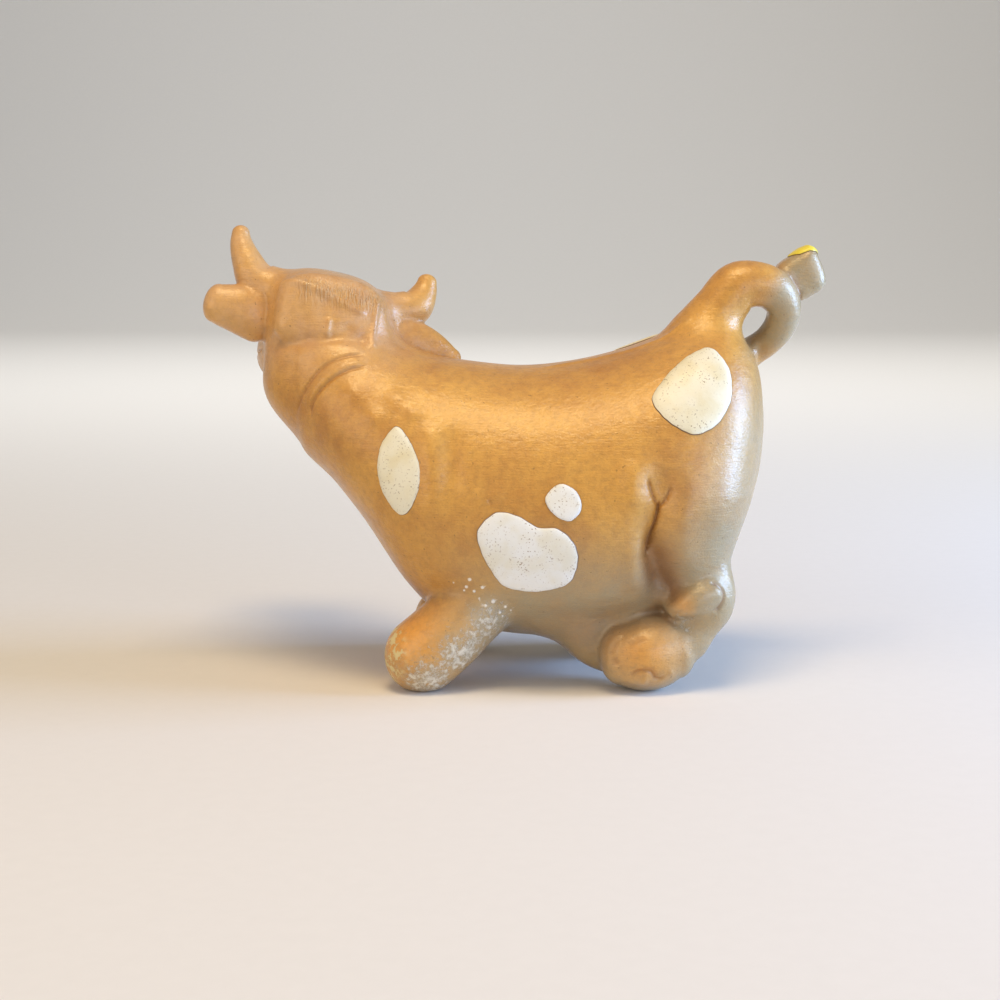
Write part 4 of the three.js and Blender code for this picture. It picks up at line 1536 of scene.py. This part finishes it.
    def _rubbed(self, tree: bpy.types.NodeTree) -> bpy.types.NodeSocket:
        """Where the slip is rubbed off: the more a place is worn, the more of its grain shows.

        Args:
            tree: the material's node tree.

        Returns:
            Share of bare clay.
        """
        worn = self.joint_share(tree, ("wear",))
        grain = Clouds(1.1, 8.0, 0.84, shift=(0.0, 0.4, 0.0)).numbers(tree)
        level = add_node(tree, "ShaderNodeMath", {"operation": "MULTIPLY_ADD"}, {
            0: worn, 1: 0.22, 2: grain}).outputs[0]
        flakes, place = (
            add_node(tree, "ShaderNodeMapRange", {"interpolation_type": "SMOOTHSTEP"}, {
                "Value": value, "From Min": low, "From Max": high, "To Max": most}).outputs[0]
            for value, low, high, most in ((level, 0.62, 0.74, 0.88), (worn, 0.03, 0.25, 1.0)))
        return self.joint_share(tree, (flakes, place))


@dataclass(frozen=True)
class LaidSlip(Finish):
    """Thick slip laid on as a patch: an eggshell cream, speckled, darker in a thin line round its edge."""

    # The default cream white, for the upward patches: a cream tone with painted warm light.
    pale: str = "#EAE3C8"
    cream: str = "#D9C78E"
    speck: str = "#8D6F48"
    edge: str = "#6E4B2B"
    stain: float = 0.5

    def paint(self, tree: bpy.types.NodeTree) -> bpy.types.Node:
        """Clouds of cream in the white, brown specks in clusters and a thin dark edge."""
        clusters = Clouds(4.0, 3.0, 0.6, shift=(0.0, 0.2, 0.5)).share(tree, 0.36, 0.66)
        dots = Clouds(0.34, 1.0, 0.4).share(tree, 0.63, 0.70)
        dark_edge = add_node(tree, "ShaderNodeMapRange", {"interpolation_type": "SMOOTHSTEP"}, {
            "Value": self.joint_share(tree, ("edge",)), "From Min": 0.45, "From Max": 0.75,
            "To Max": 0.9}).outputs[0]
        colour = self.layered(tree, self.pale, (
            (self.cream, Clouds(7.0, 3.0, 0.55).share(tree, 0.42, 0.66, self.stain)),
            (self.speck, clusters, dots, 0.8),
            (self.edge, dark_edge),
        ))
        relief = self.relief(tree, ((Clouds(0.6, 4.0, 0.6).numbers(tree), 0.12, 0.3, False),))
        return add_node(tree, "ShaderNodeBsdfPrincipled", {}, {
            "Base Color": colour, "Roughness": Clouds(2.0).share(tree, 0.25, 0.75, 0.52, 0.38),
            "IOR": 1.5, "Normal": relief, "Coat Weight": 0.15, "Coat Roughness": 0.3})


@dataclass(frozen=True)
class PressedCork(Finish):
    """Natural cork, cut and sanded: dull tan with dark pores and short streaks."""

    tan: str = "#B98F62"
    dark: str = "#8A5F38"
    pore: str = "#4B301C"

    def paint(self, tree: bpy.types.NodeTree) -> bpy.types.Node:
        """Grains of two tans with pores pressed in."""
        pores = Clouds(1.0, 2.0, 0.5, stretch=(1.0, 1.0, 0.4)).share(tree, 0.62, 0.68)
        colour = self.layered(tree, self.tan, (
            (self.dark, Clouds(1.4, 4.0, 0.7).share(tree, 0.35, 0.65)), (self.pore, pores)))
        relief = self.relief(tree, ((pores, 0.3, 0.8, True),))
        return add_node(tree, "ShaderNodeBsdfPrincipled", {}, {
            "Base Color": colour, "Roughness": 0.88, "IOR": 1.35, "Normal": relief})


@dataclass(frozen=True)
class StudioPaper(Finish):
    """Matt paper sweep: pale and even, with the least fibre."""

    pale: str = "#E9E6E1"
    fibre: str = "#DAD7D1"

    def paint(self, tree: bpy.types.NodeTree) -> bpy.types.Node:
        """A matt surface with a breath of fibre in tone."""
        colour = self.layered(tree, self.pale, (
            (self.fibre, Clouds(3.0, 4.0, 0.6).share(tree, 0.2, 0.8, 0.12)),))
        return add_node(tree, "ShaderNodeBsdfPrincipled", {}, {
            "Base Color": colour, "Roughness": 0.95, "IOR": 1.45})


# The pieces of the shaker


@dataclass
class Castings:
    """Body, head and everything luted on, as one skin cut into its pieces.

    Attributes:
        shape: the solids and their field.
        place: where the cow stands.
        body_cell: size of a cube on the body, in millimetres.
        head_cell: the same on the head.
    """

    shape: CowShape
    place: CowFrame
    body_cell: float = 0.62
    head_cell: float = 0.38

    def build(self, clay: bpy.types.Material) -> dict[str, bpy.types.Object]:
        """Makes every clay piece, dressed, riding and standing for its CAD node.

        Args:
            clay: the finish of the clay.

        Returns:
            The pieces by name.
        """
        pieces = {}
        low, high = np.array([-60.0, -29.0, -1.2]), np.array([62.0, 29.0, 87.0])
        body = self._skin(low, high, self.body_cell, lambda p: self.shape.seam(p) < SEAM_OVERLAP)
        owners = self._owners(body.points)
        for name, node in (
            ("cast_body", "body_casting"), ("curled_tail", "tail_loop"), ("tail_end", "tail_tuft"),
        ):
            pieces[name] = self._piece(name, node, body.part(owners[node]), clay)
        low, high = np.array([-61.0, -18.0, 40.0]), np.array([-8.0, 42.0, 88.0])
        head = self._skin(low, high, self.head_cell, self._near_head)
        owners = self._owners(head.points)
        for name, node in (
            ("cast_head", "head_casting"), ("left_horn", "horn_left"), ("right_horn", "horn_right"),
            ("left_ear", "ear_left"), ("right_ear", "ear_right"),
        ):
            pieces[name] = self._piece(name, node, head.part(owners[node]), clay)
        return pieces

    def _piece(self, name: str, node: str, skin: Skin, clay: bpy.types.Material) -> bpy.types.Object:
        """One clay piece as an object on the shaker."""
        piece = make_object(name, skin, self.place, clay)
        stand_in(piece, "shaker", "brown_slip_clay", node)
        return piece

    def _near_head(self, points: Array) -> Array:
        """Which points are near the head, its horns or its ears."""
        shape = self.shape
        above = shape.seam(points) > -SEAM_OVERLAP
        for limb in (shape.horns[Side.RIGHT], shape.ears[Side.RIGHT]):
            above |= limb.distance(points) < SEAM_OVERLAP
        return above

    def _skin(self, low: Array, high: Array, cell: float, wanted: Callable[[Array], Array]) -> Skin:
        """The cow's skin within a box, with its marks worked in and its numbers kept.

        Where a mark or a splash is narrow the skin is made finer first.

        Args:
            low: lowest corner of the box.
            high: highest corner.
            cell: size of a cube in millimetres.
            wanted: which points of the box matter.

        Returns:
            The skin, with its wear and its painted shade and light.
        """
        shape = self.shape
        skin = surface_of(shape.skin, wanted, low, high, cell)

        def settle(points: Array) -> Array:
            """Points brought onto the skin by three steps."""
            for _ in range(3):
                points = settled(shape.skin, points)
            return points

        for widest in (1.0, 0.6):
            fine = self._splash(skin.points, 0.5) > 0
            for mark in every_mark():
                if mark.width < widest:
                    fine |= mark.weight(skin.points, settle) > 0.02
            skin = skin.refined(fine)
            near = wanted(skin.points)
            skin.points[near] = settled(shape.skin, skin.points[near])
        normal = skin.normals()
        lift = np.zeros(len(skin.points))
        pressed = np.zeros(len(skin.points))
        for mark in every_mark():
            weight = mark.weight(skin.points, settle)
            lift += mark.lift * weight
            # Pressed marks take darker brown: grime in thin creases, painted shade in wide valleys.
            if mark.lift < 0:
                pressed = np.maximum(pressed, weight * mark.dirt_and_shade)
        edges = skin.edges()
        hollow = self._hollows(skin, edges)
        splash = self._splash(skin.points, 0.0)
        skin.points = skin.points + (lift + SPLASH_RISE * splash)[:, None] * normal
        # Darker brown: grime in the pressed lines, painted shade in the hollows.
        skin.values["recess"] = np.clip(pressed + 0.45 * hollow, 0.0, 1.0)
        skin.values["splash"] = splash
        self._keep_wear_and_light(skin)
        return skin

    @staticmethod
    def _splash(points: Array, margin: float) -> Array:
        """How far each point lies within one of the white slip's splashes on the near flank.

        Args:
            points: rows of x, y, z.
            margin: how much wider than itself each splash counts.

        Returns:
            Shares between 0 and 1.
        """
        result = np.zeros(len(points))
        x, y, z = points.T
        near = np.flatnonzero((y < -10.0) & (np.abs(x + 6.0) < 8.0) & (z < 24.0))
        for splash_x, splash_z, radius in SPLASHES:
            away = np.hypot(x[near] - splash_x, z[near] - splash_z)
            drop = smoothstep(radius + margin + 0.06, radius + margin - 0.10, away)
            result[near] = np.maximum(result[near], drop)
        return result

    @staticmethod
    def _hollows(skin: Skin, edges: Array) -> Array:
        """How hollow the skin is at each point: the pull of the neighbours along the normal.

        Args:
            skin: the skin.
            edges: its edges.

        Returns:
            Shares between 0 and 1, evened out over five rounds of neighbours.
        """
        normal = skin.normals()
        pull = skin.neighbour_mean(skin.points, edges) - skin.points
        length = ((skin.points[edges[:, 0]] - skin.points[edges[:, 1]]) ** 2).sum(1)
        spacing = np.bincount(edges.ravel(), np.repeat(length, 2)) / np.bincount(edges.ravel())
        hollow = (pull * normal).sum(1) / spacing
        for _ in range(5):
            hollow = skin.neighbour_mean(hollow, edges)
        return smoothstep(0.03, 0.22, hollow)

    def _keep_wear_and_light(self, skin: Skin) -> None:
        """Keeps where the slip is rubbed, chipped, combed as hair or painted dark, and where shade and light
        are painted.
        """
        x, y, z = skin.points.T
        left = y < 2.0

        def spot(centre: tuple, size: tuple) -> Array:
            """A soft egg-shaped spot: 1 at its centre, fading over its sizes."""
            away = (((skin.points - np.array(centre)) / np.array(size)) ** 2).sum(1)
            return np.exp(-away)

        sole, shin = spot((-16.0, -20.0, 3.0), (6.0, 9.0, 5.5)), spot((-10.5, -20.0, 7.6), (5.0, 9.0, 4.6))
        foot = np.maximum(sole, shin) * left
        splash = spot((-4.6, -19.0, 13.6), (5.0, 7.0, 4.0)) * left
        poll = spot((-34.0, 1.0, 75.5), (6.0, 2.5, 1.6))
        ankle = spot((30.2, -20.6, 13.4), (2.2, 3.0, 2.4)) * left
        far_foot = spot((-14.5, 21.0, 3.0), (6.0, 5.0, 5.0))
        skin.values["wear"] = np.clip(
            1.0 * foot + 0.8 * splash + 0.5 * poll + 0.85 * ankle + 0.6 * far_foot, 0.0, 1.0)
        skin.values["chips"] = smoothstep(0.25, 0.6, spot((-22.5, -17.5, 7.0), (3.6, 7.0, 6.0)) * left)
        # Where grey painted shade and cool reflected light lie: low on the flank, at the rump's edge, on the
        # tail and the thigh, less on the rear feet and the hock.
        low_flank = smoothstep(36.0, 13.0, z) * smoothstep(-20.0, 6.0, x)
        rump_edge = smoothstep(31.0, 43.0, x) * smoothstep(64.0, 46.0, z)
        tail = smoothstep(45.0, 50.0, x + 0.5 * (72.0 - z)) * smoothstep(58.0, 64.0, z)
        near_rear, far_rear = (spot((x_rear, y_rear, 7.5), (8.0, 7.0, 6.0)) for x_rear, y_rear in REAR_FEET)
        rear_foot = np.maximum(near_rear, 0.6 * far_rear)
        hock = spot((30.4, -21.5, 16.6), (2.6, 4.0, 2.6))
        thigh = spot((34.0, -24.0, 30.0), (7.0, 9.0, 12.0))
        # Painted shade in the web between the belly and the rear foot.
        web = spot((14.0, -17.0, 10.5), (9.0, 8.0, 5.0)) * left
        skin.values["recess"] = np.maximum(skin.values["recess"], 0.42 * web)
        # Painted light on the head and the top of the neck.
        skin.values["painted_head_light"] = smoothstep(-12.0, -24.0, x) * smoothstep(54.0, 64.0, z)
        grey = (1.2 * low_flank + 0.75 * rump_edge + tail + 0.55 * thigh
                - 1.1 * rear_foot - 0.8 * hock)
        skin.values["grey_shade_and_reflection"] = np.clip(grey, 0.0, 1.0)
        # Painted warm light on the front toes, the rear feet and the hock.
        toes = spot((-18.6, -20.0, 10.0), (6.5, 9.0, 5.5)) * left
        skin.values["painted_warm_light"] = np.clip(0.9 * rear_foot + 0.8 * hock + toes, 0.0, 1.0)
        local = self.shape.head.local(skin.points)
        hair = smoothstep(-5.0, -8.5, local[:, 0]) * np.exp(-(((local[:, 2] - 2.6) / 2.2) ** 2))
        skin.values["hair"] = hair * smoothstep(11.0, 7.0, np.abs(local[:, 1] + 1.0))
        paint = np.zeros(len(x))
        for way in (-1, 1):
            pupil = from_egg(local, (12.2, way * 11.6, 2.4), (1.0, 1.2, 1.0))
            nostril = from_egg(local, (35.4, way * 5.4, -0.4), (1.0, 1.0, 1.0))
            paint = np.maximum(paint, smoothstep(1.9, 1.1, pupil))
            paint = np.maximum(paint, smoothstep(1.9, 1.2, nostril))
        skin.values["paint"] = paint

    def _owners(self, points: Array) -> dict[str, Array]:
        """For each CAD node, a number that is positive where the clay belongs to it.

        Args:
            points: rows of x, y, z on the skin.

        Returns:
            The numbers by node, passing zero along each joint.
        """
        shape = self.shape
        seam = shape.seam(points)
        skull = smooth_union(shape.skull.distance(points), shape.jowl.distance(points), HEAD_MELT)
        base = np.minimum(skull, shape.neck.distance(points))
        trunk = shape.trunk.distance(points)
        owners = {}
        for side, name in ((Side.LEFT, "left"), (Side.RIGHT, "right")):
            horn, ear = shape.horns[side].distance(points), shape.ears[side].distance(points)
            owners[f"horn_{name}"] = np.minimum(np.minimum(base - 0.9, ear - horn), 1.6 - horn)
            free = np.minimum(base - 0.4, trunk - 0.4)
            owners[f"ear_{name}"] = np.minimum(np.minimum(free, horn - ear), 1.2 - ear)
        luted = np.max(list(owners.values()), axis=0)
        owners["head_casting"] = np.minimum(seam, -luted)
        tail, tuft = shape.tail.distance(points), shape.tuft.distance(points)
        tail_free = np.minimum(trunk - 1.0, 2.0 - np.minimum(tail, tuft))
        owners["tail_tuft"] = np.minimum(tail_free, tail - tuft)
        owners["tail_loop"] = np.minimum(tail_free, tuft - tail)
        owners["body_casting"] = np.minimum(np.minimum(-seam, -luted), -tail_free)
        return owners


@dataclass
class SlipPatch:
    """A patch of thick slip: a pillow over an outline, bedded in the clay.

    Attributes:
        name: the piece's name.
        node: the CAD node that it stands for.
        view: from where the outline is seen.
        centre: middle of the outline, along X and up, or along X and across for the back.
        outline: points round the centre, in millimetres.
        slip: which slip it is of.
        thickness: how far the slip stands proud.
        on_tuft: whether it lies on the tail's tuft instead of the body.
        sides: points round the outline.
    """

    name: str
    node: str
    view: View
    centre: tuple
    outline: tuple
    # Upward patches take the cream white with painted warm light.
    slip: Slip = Slip.YELLOWED
    thickness: float = 0.55
    on_tuft: bool = False
    sides: int = 144

    def build(self, shape: CowShape, place: CowFrame, slip: bpy.types.Material) -> bpy.types.Object:
        """Lays the patch on the clay.

        The top is the outline shrunk by a share and pushed out by thickness times the square
        root of 1 less the share to the ninth power, so it is flat with a round edge. The bed
        lies under the clay.

        Args:
            shape: the cow, whose skin the patch lies on.
            place: where the cow stands.
            slip: the finish.

        Returns:
            The piece.
        """
        outline = closed_spline(np.array(self.outline, float), 16)
        ring = np.vstack([outline, outline[:1]])
        run = lengths_along(ring)
        steps = np.linspace(0.0, run[-1], self.sides, endpoint=False)
        turn = 2.0 * np.pi * steps / run[-1]
        outline = resample(ring, run, steps)
        outline = outline * (1.0 + 0.006 * np.sin(9.0 * turn + 1.0) + 0.004 * np.sin(23.0 * turn))[:, None]
        top = 1.0 - (1.0 - np.linspace(0.04, 1.0, 30)) ** 1.8
        bed = np.array([1.0, 0.97, 0.85, 0.6, 0.3])
        share = np.concatenate([top, bed])
        rise = self.thickness * np.sqrt(np.clip(1.0 - top**9, 0.0, 1.0))
        rise = np.concatenate([rise, np.full(len(bed), SLIP_BED)])
        flat = share[:, None, None] * outline[None]
        first, second = self.centre[0] + flat[..., 0], self.centre[1] + flat[..., 1]
        clay = shape.tuft.distance if self.on_tuft else shape.core
        rings = self._laid(clay, first.ravel(), second.ravel(), np.repeat(rise, self.sides))
        middle = self._laid(clay, np.full(2, self.centre[0]), np.full(2, self.centre[1]),
                            np.array([self.thickness, SLIP_BED]))
        points, faces = closed_rings(rings.reshape(len(share), self.sides, 3), middle[0], middle[1])
        skin = Skin(points, faces)
        corner = points[faces]
        outward = np.cross(corner[:, 1] - corner[:, 0], corner[:, 2] - corner[:, 0])
        volume = (corner[:, 0] * outward).sum()
        if volume < 0:
            skin.faces = faces[:, ::-1]
        edge = np.repeat(np.concatenate([smoothstep(0.968, 0.992, top), np.ones(len(bed))]), self.sides)
        skin.values["edge"] = np.concatenate([edge, [0.0, 1.0]])
        piece = make_object(self.name, skin, place, slip)
        stand_in(piece, "shaker", "yellow_slip" if self.on_tuft else "white_slip", self.node)
        return piece

    def _laid(self, clay: Callable[[Array], Array], first: Array, second: Array, rise: Array) -> Array:
        """Points of the outline's plane dropped on the clay and lifted along its normal.

        Args:
            clay: distance to what they lie on.
            first: their places along X.
            second: their places up, or across for the back.
            rise: how far each is lifted.

        Returns:
            Rows of x, y, z.
        """
        way = np.array(self.view.value)
        if self.view is View.BACK:
            points = np.stack([first, second, np.full(len(first), 80.0 if self.on_tuft else 64.0)], axis=1)
        else:
            points = np.stack([first, way[1] * np.full(len(first), 25.0), second], axis=1)
        for _ in range(8):
            here, slope = slope_of(clay, points)
            steep = slope @ way
            points = points - np.clip(here / np.maximum(steep, 0.2), -3.0, 3.0)[:, None] * way
        _, slope = slope_of(clay, points)
        return points + rise[:, None] * unit(slope)


PATCHES = (
    SlipPatch("shoulder_leaf", "slip_patch_shoulder", View.LEFT_FLANK, (-20.8, 40.5), (
        (-0.4, 8.2), (-3.0, 5.5), (-3.9, 0.5), (-2.4, -4.6), (0.6, -7.6), (3.2, -4.0), (3.8, 1.0),
        (2.0, 5.6))),
    SlipPatch("belly_patch", "slip_patch_belly", View.LEFT_FLANK, (1.67, 26.7), (
        (-8.6, 3.6), (-5.6, 7.2), (-1.6, 6.9), (2.2, 4.8), (5.6, 4.6), (9.0, 1.2), (8.4, -4.9), (4.2, -7.1),
        (-3.4, -6.6), (-6.6, -2.6)), Slip.WHITE),
    SlipPatch("flank_dot", "slip_patch_dot", View.LEFT_FLANK, (8.28, 35.9), (
        (-3.2, 0.6), (-0.6, 3.2), (2.4, 1.8), (3.2, -1.2), (1.2, -3.3), (-1.6, -2.2)), Slip.WHITE),
    SlipPatch("rump_patch", "slip_patch_rump", View.LEFT_FLANK, (31.62, 54.86), (
        (-7.4, -1.6), (-4.6, 2.6), (-0.4, 6.0), (3.6, 7.4), (6.4, 4.6), (7.0, -0.6), (4.4, -5.4), (0.2, -7.4),
        (-4.6, -5.2))),
    SlipPatch("back_patch", "slip_patch_back", View.BACK, (24.13, 7.5), (
        (-6.4, 0.5), (-3.2, -4.4), (2.4, -4.6), (6.2, -1.0), (4.6, 4.0), (-1.6, 5.0))),
    SlipPatch("far_rib_patch", "slip_patch_far_ribs", View.RIGHT_FLANK, (-3.62, 33.1), (
        (-9.0, 2.0), (-5.0, 7.0), (1.4, 6.2), (6.6, 7.4), (9.2, 1.2), (5.0, -5.6), (-3.4, -6.8))),
    SlipPatch("far_rump_patch", "slip_patch_far_rump", View.RIGHT_FLANK, (28.1, 39.24), (
        (-6.2, -1.0), (-3.4, 5.0), (2.6, 5.8), (6.0, 0.8), (3.4, -5.2), (-2.4, -5.6))),
    SlipPatch("far_dot", "slip_patch_far_dot", View.RIGHT_FLANK, (13.56, 22.86), (
        (-3.0, -0.4), (-1.4, 2.8), (1.8, 2.6), (3.0, -0.4), (1.0, -3.0), (-1.6, -2.6))),
    SlipPatch("tuft_cap", "slip_patch_tuft", View.BACK, (54.7, 6.0), (
        (-2.9, 0.4), (-1.6, 2.5), (1.0, 2.9), (2.4, 1.6), (2.5, -1.2), (1.2, -2.9), (-1.4, -2.6)),
        Slip.YELLOW, 0.4, True),
)


@dataclass
class CorkStopper:
    """The cork in the belly: a tapered round with softened edges, cut a little out of true.

    Attributes:
        bore: bore of the hole that it closes.
        clearance: gap between cork and hole.
        length: its length.
        recess: how far its foot stands over the belly's lowest line.
        taper: how much narrower its top is, in radius.
        edge: radius of its edges.
        sides: points round it.
    """

    bore: float = 12.0
    clearance: float = 0.3
    length: float = 9.0
    recess: float = 0.4
    taper: float = 0.5
    edge: float = 0.6
    sides: int = 96

    def build(self, shape: CowShape, place: CowFrame, cork: bpy.types.Material) -> bpy.types.Object:
        """Carries the cork's profile round its axis, with a slight waver in the radius.

        Args:
            shape: the cow, for the hole's place.
            place: where it stands.
            cork: the finish.

        Returns:
            The piece.
        """
        wide = self.bore / 2 - self.clearance
        foot = shape.trunk.belly + self.recess
        turn = np.linspace(0.0, np.pi / 2, 8)
        radius = np.concatenate([
            np.linspace(0.5, wide - self.edge, 10)[:-1],
            wide - self.edge + self.edge * np.sin(turn),
            np.linspace(wide, wide - self.taper, 12)[1:-1],
            wide - self.taper - self.edge + self.edge * np.cos(turn),
            np.linspace(wide - self.taper - self.edge, 0.5, 8)[1:],
        ])
        height = np.concatenate([
            np.full(9, foot),
            foot + self.edge - self.edge * np.cos(turn),
            np.linspace(foot + self.edge, foot + self.length - self.edge, 12)[1:-1],
            foot + self.length - self.edge + self.edge * np.sin(turn),
            np.full(7, foot + self.length),
        ])
        angle = np.linspace(0.0, 2 * np.pi, self.sides, endpoint=False)
        waver = 1.0 - 0.008 * (1.0 + np.sin(3 * angle + 0.4)) - 0.004 * (1.0 + np.sin(11 * angle))
        away = radius[:, None] * waver[None]
        dimple = 0.12 * np.sin(1.7 * away * np.cos(angle + 0.5)) * np.sin(1.3 * away * np.sin(angle) + 1.0)
        level = height[:, None] + np.where(height[:, None] < foot + self.edge, np.abs(dimple), 0.0)
        rings = np.stack([shape.fill_x + away * np.cos(angle), away * np.sin(angle), level], axis=-1)
        points, faces = closed_rings(
            rings, np.array([shape.fill_x, 0.0, foot]), np.array([shape.fill_x, 0.0, foot + self.length]))
        piece = make_object("cork", Skin(points, faces), place, cork)
        stand_in(piece, "stopper", "cork", "cork_stopper")
        return piece


@dataclass
class Studio:
    """Paper sweep, camera and lights.

    Attributes:
        place: where the cow stands.
        look_at: the point at the middle of the picture, in the cow's millimetres.
        distance: camera to that point.
        elevation: how far the camera looks down, in degrees.
        mm_per_pixel: size of a pixel at that point.
        picture: side of the picture in pixels.
        sensor: width of the camera's film in millimetres.
    """

    place: CowFrame
    look_at: tuple = (-2.85, 0.0, 32.8)
    distance: float = 340.0
    elevation: float = 8.0
    mm_per_pixel: float = 0.19
    picture: int = 1000
    sensor: float = 36.0

    def build(self, paper: bpy.types.Material) -> None:
        """Sets up everything round the shaker."""
        self._sweep(paper)
        self._camera()
        self._world()
        self._lamp("ceiling_softbox", (-20.0, -170.0, 560.0), (240.0, 190.0), 1.75, "#FFE1AE")
        self._lamp("window_right", (540.0, -20.0, 130.0), (250.0, 360.0), 5.2, "#A2C7FF")
        self._lamp("fill_right", (400.0, -430.0, 80.0), (420.0, 360.0), 1.5, "#C4D9FF")
        self._lamp("fill_left", (-460.0, -420.0, 240.0), (420.0, 420.0), 1.0, "#FFF0E0")
        self._lamp("backdrop_glow", (0.0, 500.0, 900.0), (900.0, 500.0), 11.0, "#FFFFFF",
                   (0.0, 1500.0, 350.0))
        bpy.context.scene.view_settings.view_transform = "Standard"

    def _sweep(self, paper: bpy.types.Material) -> None:
        """A floor that curves up into a wall: a line, a quarter circle and a line, drawn along X."""
        front, bend, radius, top = -2.2, 1.4, 0.9, 3.2
        turn = np.linspace(0.0, np.pi / 2, 32)
        along = np.concatenate([[front], bend + radius * np.sin(turn), [bend + radius]])
        up = np.concatenate([[0.0], radius - radius * np.cos(turn), [top]])
        across = np.linspace(-3.5, 3.5, 8)
        x, row = np.meshgrid(across, np.arange(len(along)), indexing="ij")
        points = np.stack([x, along[row], up[row]], axis=-1).reshape(-1, 3)
        a = (np.arange(len(across) - 1)[:, None] * len(along) + np.arange(len(along) - 1)).ravel()
        faces = np.stack([a, a + len(along), a + len(along) + 1, a + 1], axis=1)
        mesh = bpy.data.meshes.new("paper_sweep")
        mesh.from_pydata(points.tolist(), [], faces.tolist())
        mesh.shade_smooth()
        mesh.materials.append(paper)
        sweep = bpy.data.objects.new("paper_sweep", mesh)
        bpy.context.scene.collection.objects.link(sweep)

    def _camera(self) -> None:
        """The camera at the photograph's place, looking at the flank."""
        target = self.place.metres(np.array([self.look_at]))[0]
        lean = math.radians(self.elevation)
        away = self.distance * MM * np.array([0.0, -math.cos(lean), math.sin(lean)])
        lens = bpy.data.cameras.new("camera")
        lens.sensor_width = self.sensor
        lens.lens = self.sensor * self.distance / (self.mm_per_pixel * self.picture)
        lens.clip_start = 0.01
        camera = bpy.data.objects.new("camera", lens)
        camera.location = target + away
        camera.rotation_euler = Vector(-away).to_track_quat("-Z", "Y").to_euler()
        bpy.context.scene.collection.objects.link(camera)
        bpy.context.scene.camera = camera

    def _world(self) -> None:
        """Even grey light from all round; the camera and reflections see it pale."""
        world = bpy.data.worlds.new("studio_air")
        world.use_nodes = True
        tree = world.node_tree
        tree.nodes.clear()
        path = add_node(tree, "ShaderNodeLightPath")
        seen = path.outputs["Is Camera Ray"]
        for ray in ("Is Glossy Ray", "Is Transmission Ray"):
            seen = add_node(tree, "ShaderNodeMath", {"operation": "MAXIMUM"}, {
                0: seen, 1: path.outputs[ray]}).outputs[0]
        air = add_node(tree, "ShaderNodeBackground", {}, {"Color": linear("#FFFDFA"), "Strength": 0.26})
        pale = add_node(tree, "ShaderNodeBackground", {}, {"Color": linear("#F3F1EE"), "Strength": 0.65})
        mix = add_node(tree, "ShaderNodeMixShader", {}, {0: seen, 1: air.outputs[0], 2: pale.outputs[0]})
        add_node(tree, "ShaderNodeOutputWorld", {}, {"Surface": mix.outputs[0]})
        bpy.context.scene.world = world

    def _lamp(self, name: str, where: tuple, size: tuple, power: float, colour: str,
              aim: tuple | None = None) -> None:
        """A flat lamp that faces the shaker, or another point.

        Args:
            name: its name.
            where: its middle, in the cow's millimetres.
            size: its width and height in millimetres.
            power: watts.
            colour: sRGB hex colour of the light.
            aim: where it faces, if not the shaker.
        """
        light = bpy.data.lights.new(name, "AREA")
        light.shape = "RECTANGLE"
        light.size, light.size_y = size[0] * MM, size[1] * MM
        light.energy = power
        light.color = linear(colour)[:3]
        lamp = bpy.data.objects.new(name, light)
        spot = self.place.metres(np.array([where, aim or self.look_at]))
        lamp.location = spot[0]
        lamp.rotation_euler = Vector(spot[1] - spot[0]).to_track_quat("-Z", "Y").to_euler()
        bpy.context.scene.collection.objects.link(lamp)


def main() -> None:
    """Builds the shaker piece by piece, then the studio."""
    logging.basicConfig(level=logging.INFO, format="%(name)s: %(message)s")
    shape = CowShape()
    place = CowFrame.of_cork(shape.fill_x)
    clay = WaxedSlip("waxed_slip_on_cast_earthenware").build()
    slips = {
        Slip.WHITE: LaidSlip(Slip.WHITE.value, pale="#EFEFE9", cream="#DDD0A4", stain=0.40),
        # Cream white with painted warm light, for the upward patches.
        Slip.YELLOWED: LaidSlip(Slip.YELLOWED.value),
        Slip.YELLOW: LaidSlip(Slip.YELLOW.value, pale="#EBD845", cream="#DFC136", stain=0.8),
    }
    slips = {kind: finish.build() for kind, finish in slips.items()}
    Castings(shape, place).build(clay)
    for patch in PATCHES:
        patch.build(shape, place, slips[patch.slip])
    CorkStopper().build(shape, place, PressedCork("cut_natural_cork").build())
    Studio(place).build(StudioPaper("matt_paper").build())


if __name__ == "__main__":
    main()
